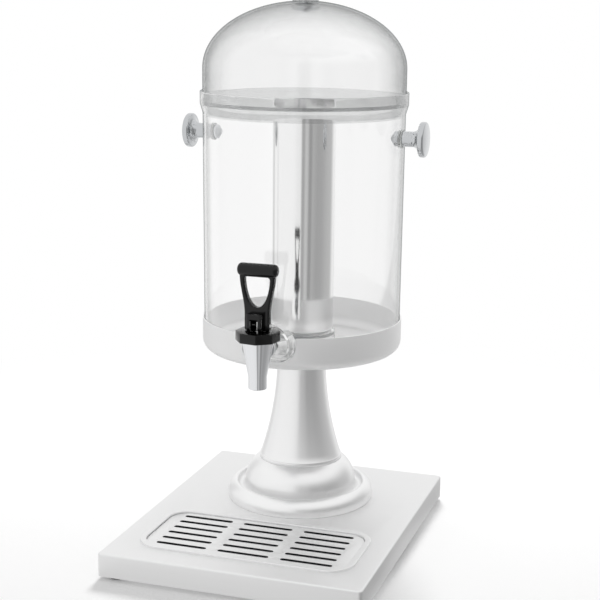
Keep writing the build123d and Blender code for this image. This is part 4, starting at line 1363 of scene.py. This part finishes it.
class DISPENSER_OT_tap(bpy.types.Operator):
    """Turn the tap body, mould its bonnet and wind its spring"""

    bl_idname = "dispenser.tap"
    bl_label = "Tap"

    def execute(self, context):
        settings = context.scene.dispenser_tap
        self.turn_body(settings, context.scene.dispenser_tank)
        self.mould_bonnet(settings)
        self.wind_spring(settings)
        return {"FINISHED"}

    def turn_body(self, settings, tank):
        """Turn the body with its spout and chamber, and add the bored shank with its flange."""
        low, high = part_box("tap_body")
        shoulder = low.z + settings.shoulder
        cone_foot = low.z + settings.spout_length
        seat = cone_foot + settings.seat_height
        lathe = upright("tap_stem")
        outline = [
            (settings.spout_bore, low.z),
            (settings.spout_radius, low.z, settings.spout_edge),
            (settings.spout_radius, cone_foot),
            (settings.body_radius, shoulder),
            (settings.thread_radius, shoulder),
            (settings.thread_radius, high.z),
            (settings.chamber_radius, high.z),
            (settings.chamber_radius, seat),
            (settings.seat_bore, seat),
            (settings.seat_bore, seat - settings.seat_land),
            (settings.spout_bore, cone_foot),
        ]
        body = draw("tap_body_chrome", lathe, outline, closed=True).revolve(TAP_STEPS)
        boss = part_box("tank_vessel")[0]
        shank_z = boss.z + tank.shank_height
        flange_back = boss.y - settings.gasket
        flange_front = flange_back - settings.flange_thickness
        shank_end = lathe.origin.y + settings.chamber_radius + settings.spout_edge
        outline = [
            (0, -high.y),
            (settings.shank_radius, -high.y, settings.spout_edge),
            (settings.shank_radius, -flange_back),
            (settings.flange_radius, -flange_back),
            (settings.flange_radius, -flange_front),
            (settings.shank_radius, -flange_front),
            (settings.shank_radius, -shank_end),
            (0, -shank_end),
        ]
        shank = draw("shank", Lathe((0, 0, shank_z), FORWARD, UP), outline, closed=False)
        combine(body, shank.revolve(STEM_STEPS), "UNION")
        back = Vector((0, high.y + settings.shank_bore, shank_z))
        bore = round_bar("bore", back, (0, lathe.origin.y, shank_z), settings.shank_bore)
        combine(body, bore, "DIFFERENCE")
        soften(body, settings.bonnet_edge / 2)
        dress(body, material(chrome), "tank", "chrome", "tap_body")

    def mould_bonnet(self, settings):
        """Mould the octagonal bonnet as a ring of few steps, with the stem's hole in its top."""
        low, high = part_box("tap_bonnet")
        turn = settings.bonnet_turn - math.pi / 2
        lathe = upright("tap_stem")
        lathe.side = Vector((math.cos(turn), math.sin(turn), 0))
        outline = [
            (settings.bonnet_radius, low.z),
            (settings.bonnet_radius, high.z),
            (settings.stem_hole, high.z),
            (settings.stem_hole, high.z - settings.bonnet_plate),
            (settings.thread_radius, high.z - settings.bonnet_plate),
            (settings.thread_radius, low.z),
        ]
        bonnet = draw("tap_bonnet_black", lathe, outline, closed=True).revolve(settings.bonnet_sides)
        soften(bonnet, settings.bonnet_edge)
        dress(bonnet, material(black_plastic), "tank", "black_plastic", "tap_bonnet")

    def wind_spring(self, settings):
        """Wind the closing spring."""
        low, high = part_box("tap_spring")
        place = upright("tap_stem").origin
        wire = settings.spring_wire / 2
        spring = start_piece(
            "wound_spring", bpy.ops.mesh.primitive_circle_add, vertices=WIRE_STEPS, radius=wire
        )
        with editing(spring):
            select_whole()
            bpy.ops.transform.rotate(value=math.pi / 2, orient_axis="X", center_override=(0, 0, 0))
            bpy.ops.transform.translate(value=((high.x - low.x) / 2 - wire, 0, 0))
        apply_modifier(
            spring,
            "SCREW",
            screw_offset=(high.z - low.z - 2 * wire) / settings.spring_turns,
            iterations=settings.spring_turns,
            steps=SPRING_STEPS,
            render_steps=SPRING_STEPS,
        )
        with editing(spring):
            select_whole()
            bpy.ops.mesh.fill_holes(sides=0)
            bpy.ops.mesh.select_all(action="SELECT")
            bpy.ops.transform.translate(value=(place.x, place.y, low.z + wire))
            merge_doubles()
        dress(spring, material(zinc_steel), "tank", "zinc_steel", "tap_spring")
        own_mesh(spring)


class DISPENSER_OT_tap_handle(bpy.types.Operator):
    """Mould the cam handle with its finger loop"""

    bl_idname = "dispenser.tap_handle"
    bl_label = "Tap Handle"

    def execute(self, context):
        settings = context.scene.dispenser_tap
        low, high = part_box("tap_handle")
        axis = upright("tap_stem").origin
        bar_z = high.z - settings.bar_radius
        handle = self.mould_block(settings, low, high)
        loop = self.loop_plate(settings, axis, low.z, bar_z)
        combine(loop, self.loop_gap(settings, axis, bar_z - settings.bar_radius), "DIFFERENCE")
        soften(loop, settings.loop_edge, segments=4)
        combine(handle, loop, "UNION")
        combine(handle, self.turn_bar(settings, low, high, axis, bar_z), "UNION")
        combine(handle, self.stem_slot(settings, low), "DIFFERENCE")
        combine(handle, self.pin_bore(settings, low, high), "DIFFERENCE")
        dress(handle, material(black_plastic), "tap_handle", "black_plastic", "tap_handle")
        return {"FINISHED"}

    def mould_block(self, settings, low, high):
        """Make the block that rolls on the bonnet, with a round cam at its front foot."""
        top = low.z + settings.block_height
        side = Vector((-settings.block_width / 2, 0, 0))
        outline = [(high.y, low.z), (high.y, top), (low.y, top), (low.y, low.z, settings.cam_radius)]
        pen = draw("tap_handle_black", Lathe(side, UP, -FORWARD), outline, closed=True)
        block = pen.prism(RIGHT * settings.block_width)
        soften(block, settings.block_edge, segments=3)
        return block

    def pin_bore(self, settings, low, high):
        """Make the tool for the bore that takes the cross pin."""
        pin_low, pin_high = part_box("tap_handle_pin")
        centre = (pin_low + pin_high) / 2
        start = Vector((low.x, centre.y, centre.z))
        end = Vector((high.x, centre.y, centre.z))
        return round_bar("pin_bore", start, end, (pin_high.z - pin_low.z) / 2 + settings.pin_fit)

    def stem_slot(self, settings, low):
        """Make the tool for the slot in which the stem swings."""
        pin_low, pin_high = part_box("tap_handle_pin")
        back = (pin_low.y + pin_high.y) / 2 + settings.slot_back
        half = settings.slot_width / 2
        start = Vector((-half, low.y - settings.slot_back, low.z - settings.slot_back))
        end = Vector((half, back, low.z + settings.slot_height))
        return rounded_slab("slot", start, end, settings.block_edge)

    def loop_plate(self, settings, axis, foot, bar_z, steps=24):
        """Make the plate under the bar, with upright flanks that flow out to its shoulders."""
        waist = foot + settings.waist_height
        shoulder = bar_z - settings.shoulder_drop

        def flank(share):
            ease = share * share * (3 - 2 * share)
            half = settings.loop_waist + (settings.loop_top - settings.loop_waist) * ease
            return half, waist + (shoulder - waist) * share

        sides = [flank(step / steps) for step in range(steps + 1)]
        outline = [
            (-settings.loop_waist, foot),
            (settings.loop_waist, foot),
            *sides,
            (settings.loop_top, bar_z),
            (-settings.loop_top, bar_z),
            *[(-half, z) for half, z in reversed(sides)],
        ]
        depth = settings.loop_thickness
        lathe = Lathe(axis - FORWARD * depth / 2, UP, RIGHT)
        return draw("loop", lathe, outline, closed=True).prism(FORWARD * depth)

    def loop_gap(self, settings, axis, roof, steps=32):
        """Make the tool for the finger opening, half an ellipse under a level roof."""
        half, height = settings.gap_half, settings.gap_height
        turns = [math.pi * step / steps for step in range(1, steps)]
        outline = [
            (0, roof),
            (-half, roof, settings.gap_round),
            *[(-half * math.cos(turn), roof - height * math.sin(turn)) for turn in turns],
            (half, roof, settings.gap_round),
        ]
        depth = 2 * settings.loop_thickness
        lathe = Lathe(axis - FORWARD * depth / 2, UP, RIGHT)
        return draw("gap", lathe, outline, closed=True).prism(FORWARD * depth)

    def turn_bar(self, settings, low, high, axis, bar_z):
        """Turn the grip bar with its round ends."""
        width = high.x - low.x
        outline = [
            (0, 0),
            (settings.bar_radius, 0, settings.bar_edge),
            (settings.bar_radius, width, settings.bar_edge),
            (0, width),
        ]
        lathe = Lathe((low.x, axis.y, bar_z), RIGHT, UP)
        return draw("bar", lathe, outline, closed=False).revolve(SMALL_STEPS)


class DISPENSER_OT_lid(bpy.types.Operator):
    """Mould the dome lid"""

    bl_idname = "dispenser.lid"
    bl_label = "Lid"

    def execute(self, context):
        settings = context.scene.dispenser_lid
        hole = context.scene.dispenser_tank.knob_hole
        low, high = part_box("lid_dome")
        springing = high.z - settings.rise
        outer = high.x
        inner = outer - settings.wall
        outline = [
            (inner, low.z),
            (outer, low.z, settings.edge),
            (outer, springing),
            *self.quarter(outer, settings.rise, springing, hole),
            *reversed(self.quarter(inner, settings.rise - settings.wall, springing, hole)),
            (inner, springing),
        ]
        lid = draw("moulded_lid", upright("lid_knob"), outline, closed=True).revolve(WIDE_STEPS)
        dress(lid, material(lid_plastic), "lid", "clear_plastic", "lid_dome")
        return {"FINISHED"}

    def quarter(self, radius, rise, springing, hole, steps=40):
        """Give points up a quarter ellipse, as far as the hole in its crown."""
        last = math.acos(hole / radius)
        turns = [last * step / steps for step in range(1, steps + 1)]
        return [(radius * math.cos(turn), springing + rise * math.sin(turn)) for turn in turns]


class DISPENSER_OT_hardware(bpy.types.Operator):
    """Finish the fasteners and seals that keep their solid form"""

    bl_idname = "dispenser.hardware"
    bl_label = "Hardware"

    finishes = {
        zinc_steel: (
            "foot_screws",
            "foot_nuts",
            "base_stiffener",
            "cup_hub",
            "tie_rod",
            "tie_rod_washer",
            "tie_rod_nut",
            "ice_tube_washer",
            "ice_tube_nut",
        ),
        polished_steel: ("tap_stem", "tap_handle_pin"),
        silicone: ("ice_tube_gasket", "knob_washers", "tap_gaskets", "tap_seat_cup", "lid_knob_washers"),
        grey_plastic: ("tap_shank_nut",),
    }

    def execute(self, context):
        for maker, names in self.finishes.items():
            for name in names:
                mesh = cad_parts[name].data
                mesh.materials.clear()
                mesh.materials.append(material(maker))
        return {"FINISHED"}


# Stage

def room_level(tree, way):
    """Give the colour of the room's walls that lies in a direction."""
    turn = add(tree, "ShaderNodeTexGradient", {"Vector": way}, gradient_type="RADIAL")
    walls = add(tree, "ShaderNodeValToRGB", {"Fac": turn.outputs["Fac"]})
    stops = walls.color_ramp.elements
    stops.remove(stops[-1])
    first = ROOM_STOPS[0][0]
    for degrees, level in ROOM_STOPS:
        stop = stops[0] if degrees == first else stops.new((degrees - first) / 360)
        stop.color = (level, level, level, 1.0)
    return walls.outputs["Color"]


def mirrored(tree):
    """Give a socket that is 1 for rays from mirrors and through clear plastic."""
    path = add(tree, "ShaderNodeLightPath")
    either = add(
        tree,
        "ShaderNodeMath",
        {0: path.outputs["Is Glossy Ray"], 1: path.outputs["Is Transmission Ray"]},
        operation="MAXIMUM",
    )
    return either.outputs["Value"]


def fade_out(tree, start, end, rays):
    """Give a socket that grows from 0 to 1 between two distances, for some rays only."""
    place = add(tree, "ShaderNodeTexCoord")
    away = add(tree, "ShaderNodeVectorMath", {0: place.outputs["Object"]}, operation="LENGTH")
    fade = add(
        tree,
        "ShaderNodeMapRange",
        {"Value": away.outputs["Value"]},
        {"From Min": start, "From Max": end},
        interpolation_type="SMOOTHSTEP",
    )
    share = add(tree, "ShaderNodeMath", {0: fade.outputs["Result"], 1: rays}, operation="MULTIPLY")
    return share.outputs["Value"]


def before_front(tree, settings):
    """Give a socket that is 1 on the strip of floor before the base's front, and 0 elsewhere."""
    low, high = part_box("base_cover")
    place = add(tree, "ShaderNodeTexCoord")
    split = add(tree, "ShaderNodeSeparateXYZ", {"Vector": place.outputs["Object"]})
    aside = add(tree, "ShaderNodeMath", {0: split.outputs["X"]}, operation="ABSOLUTE")
    reach = low.y - settings.apron_depth
    near = add(
        tree,
        "ShaderNodeMapRange",
        {"Value": split.outputs["Y"]},
        {"From Min": reach, "From Max": reach + settings.apron_fade},
    )
    within = add(
        tree,
        "ShaderNodeMapRange",
        {"Value": aside.outputs["Value"]},
        {"From Min": high.x + settings.apron_fade / 2, "From Max": high.x},
    )
    both = add(
        tree,
        "ShaderNodeMath",
        {0: near.outputs["Result"], 1: within.outputs["Result"]},
        operation="MULTIPLY",
    )
    return both.outputs["Value"]


class DISPENSER_OT_stage(bpy.types.Operator):
    """Set the floor, the room light and the camera"""

    bl_idname = "dispenser.stage"
    bl_label = "Stage"

    def execute(self, context):
        settings = context.scene.dispenser_stage
        self.lay_floor(settings)
        self.light_room(context, settings)
        self.hang_lamp(settings)
        self.place_camera(context, settings)
        context.scene.view_settings.view_transform = "Standard"
        cycles = context.scene.cycles
        cycles.max_bounces = cycles.transmission_bounces = cycles.transparent_max_bounces = CLEAR_BOUNCES
        cycles.glossy_bounces = MIRROR_BOUNCES
        return {"FINISHED"}

    def lay_floor(self, settings):
        """Lay a white floor that keeps the shadow and fades into the white room further out."""
        floor = start_piece("studio_floor", bpy.ops.mesh.primitive_plane_add, size=settings.floor_size)
        surface, tree = material_tree("matt_white_floor")
        paint = add(tree, "ShaderNodeBsdfDiffuse", values={"Color": (*settings.floor_colour, 1.0)})
        white = add(tree, "ShaderNodeEmission", values={"Color": WHITE, "Strength": 1.0})
        place = add(tree, "ShaderNodeTexCoord")
        path = add(tree, "ShaderNodeLightPath")
        walls = add(
            tree,
            "ShaderNodeMix",
            {"Factor": before_front(tree, settings), 6: room_level(tree, place.outputs["Object"])},
            {7: (*settings.apron_colour, 1.0)},
            data_type="RGBA",
        )
        room = add(tree, "ShaderNodeEmission", {"Color": walls.outputs[2]}, {"Strength": 1.0})
        to_white = fade_out(tree, settings.fade_start, settings.fade_end, path.outputs["Is Camera Ray"])
        to_room = fade_out(tree, settings.sweep_start, settings.sweep_end, mirrored(tree))
        shown = add(
            tree,
            "ShaderNodeMixShader",
            {0: to_white, 1: paint.outputs["BSDF"], 2: white.outputs["Emission"]},
        )
        mix = add(
            tree, "ShaderNodeMixShader", {0: to_room, 1: shown.outputs["Shader"], 2: room.outputs["Emission"]}
        )
        add(tree, "ShaderNodeOutputMaterial", links={"Surface": mix.outputs["Shader"]})
        floor.data.materials.append(surface)

    def light_room(self, context, settings):
        """Light evenly from all round, and let the camera, mirrors and clear plastic see the room."""
        world = bpy.data.worlds.new("white_room")
        world.use_nodes = True
        world.cycles.sampling_method = "NONE"
        tree = world.node_tree
        tree.nodes.clear()
        way = add(tree, "ShaderNodeTexCoord")
        lift = add(tree, "ShaderNodeSeparateXYZ", {"Vector": way.outputs["Generated"]})
        ceiling = add(
            tree,
            "ShaderNodeMapRange",
            {"Value": lift.outputs["Z"]},
            {"From Min": settings.ceiling_start, "From Max": settings.ceiling_end},
            interpolation_type="SMOOTHSTEP",
        )
        room = add(
            tree,
            "ShaderNodeMix",
            {"Factor": ceiling.outputs["Result"], 6: room_level(tree, way.outputs["Generated"])},
            {7: WHITE},
            data_type="RGBA",
        )
        seen = add(tree, "ShaderNodeBackground", {"Color": room.outputs[2]}, {"Strength": 1.0})
        even = add(
            tree, "ShaderNodeBackground", values={"Color": WHITE, "Strength": settings.room_light}
        )
        reflected = add(
            tree,
            "ShaderNodeMixShader",
            {0: mirrored(tree), 1: even.outputs["Background"], 2: seen.outputs["Background"]},
        )
        white = add(tree, "ShaderNodeBackground", values={"Color": WHITE, "Strength": 1.0})
        path = add(tree, "ShaderNodeLightPath")
        mix = add(
            tree,
            "ShaderNodeMixShader",
            {
                0: path.outputs["Is Camera Ray"],
                1: reflected.outputs["Shader"],
                2: white.outputs["Background"],
            },
        )
        add(tree, "ShaderNodeOutputWorld", links={"Surface": mix.outputs["Shader"]})
        context.scene.world = world

    def hang_lamp(self, settings):
        """Hang a large lamp behind, whose shadow falls to the front."""
        lamp = start_piece("key_lamp", bpy.ops.object.light_add, type="AREA", location=settings.key_place)
        lamp.data.shape = "SQUARE"
        lamp.data.size = settings.key_size
        lamp.data.energy = settings.key_power
        lamp.visible_glossy = False
        lamp.visible_transmission = False
        aim = Vector(settings.key_aim) - lamp.location
        lamp.rotation_euler = aim.to_track_quat("-Z", "Y").to_euler()

    def place_camera(self, context, settings):
        """Stand the camera where the photograph was taken from."""
        bpy.ops.object.camera_add()
        camera = bpy.context.object
        turn = Matrix.Rotation(settings.azimuth, 4, "Z")
        tilt = Matrix.Rotation(math.pi / 2 - settings.pitch, 4, "X")
        roll = Matrix.Rotation(settings.roll, 4, "Z")
        camera.matrix_world = Matrix.Translation(settings.camera_place) @ turn @ tilt @ roll
        camera.data.lens = settings.lens
        camera.data.sensor_width = SENSOR_WIDTH
        context.scene.camera = camera


# Sidebar

class DISPENSER_PT_sidebar(bpy.types.Panel):
    """Buttons that build the dispenser, with each part's sizes"""

    bl_label = "Juice Dispenser"
    bl_idname = "DISPENSER_PT_sidebar"
    bl_space_type = "VIEW_3D"
    bl_region_type = "UI"
    bl_category = "Dispenser"

    def draw(self, context):
        for operator in OPERATORS:
            self.layout.operator(operator.bl_idname)
        for name, group in SETTINGS.items():
            box = self.layout.box()
            box.label(text=group.__doc__)
            for key in group.__annotations__:
                box.prop(getattr(context.scene, name), key)


SETTINGS = {
    "dispenser_base": BaseSettings,
    "dispenser_tray": TraySettings,
    "dispenser_pedestal": PedestalSettings,
    "dispenser_cup": CupSettings,
    "dispenser_tank": TankSettings,
    "dispenser_ice_tube": IceTubeSettings,
    "dispenser_knobs": KnobSettings,
    "dispenser_tap": TapSettings,
    "dispenser_lid": LidSettings,
    "dispenser_stage": StageSettings,
}

OPERATORS = (
    DISPENSER_OT_base,
    DISPENSER_OT_drip_tray,
    DISPENSER_OT_pedestal,
    DISPENSER_OT_cup,
    DISPENSER_OT_tank,
    DISPENSER_OT_ice_tube,
    DISPENSER_OT_knobs,
    DISPENSER_OT_tap,
    DISPENSER_OT_tap_handle,
    DISPENSER_OT_lid,
    DISPENSER_OT_hardware,
    DISPENSER_OT_stage,
)


def register():
    """Register the settings, the operators and the panel."""
    for name, group in SETTINGS.items():
        bpy.utils.register_class(group)
        setattr(bpy.types.Scene, name, PointerProperty(type=group))
    for operator in OPERATORS:
        bpy.utils.register_class(operator)
    bpy.utils.register_class(DISPENSER_PT_sidebar)


def unregister():
    """Undo what register does, in reverse."""
    bpy.utils.unregister_class(DISPENSER_PT_sidebar)
    for operator in reversed(OPERATORS):
        bpy.utils.unregister_class(operator)
    for name, group in reversed(SETTINGS.items()):
        delattr(bpy.types.Scene, name)
        bpy.utils.unregister_class(group)


def main():
    """Build the dispenser and its stage."""
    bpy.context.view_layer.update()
    register()
    bpy.ops.dispenser.base()
    bpy.ops.dispenser.drip_tray()
    bpy.ops.dispenser.pedestal()
    bpy.ops.dispenser.cup()
    bpy.ops.dispenser.tank()
    bpy.ops.dispenser.ice_tube()
    bpy.ops.dispenser.knobs()
    bpy.ops.dispenser.tap()
    bpy.ops.dispenser.tap_handle()
    bpy.ops.dispenser.lid()
    bpy.ops.dispenser.hardware()
    bpy.ops.dispenser.stage()


if __name__ == "__main__":
    main()
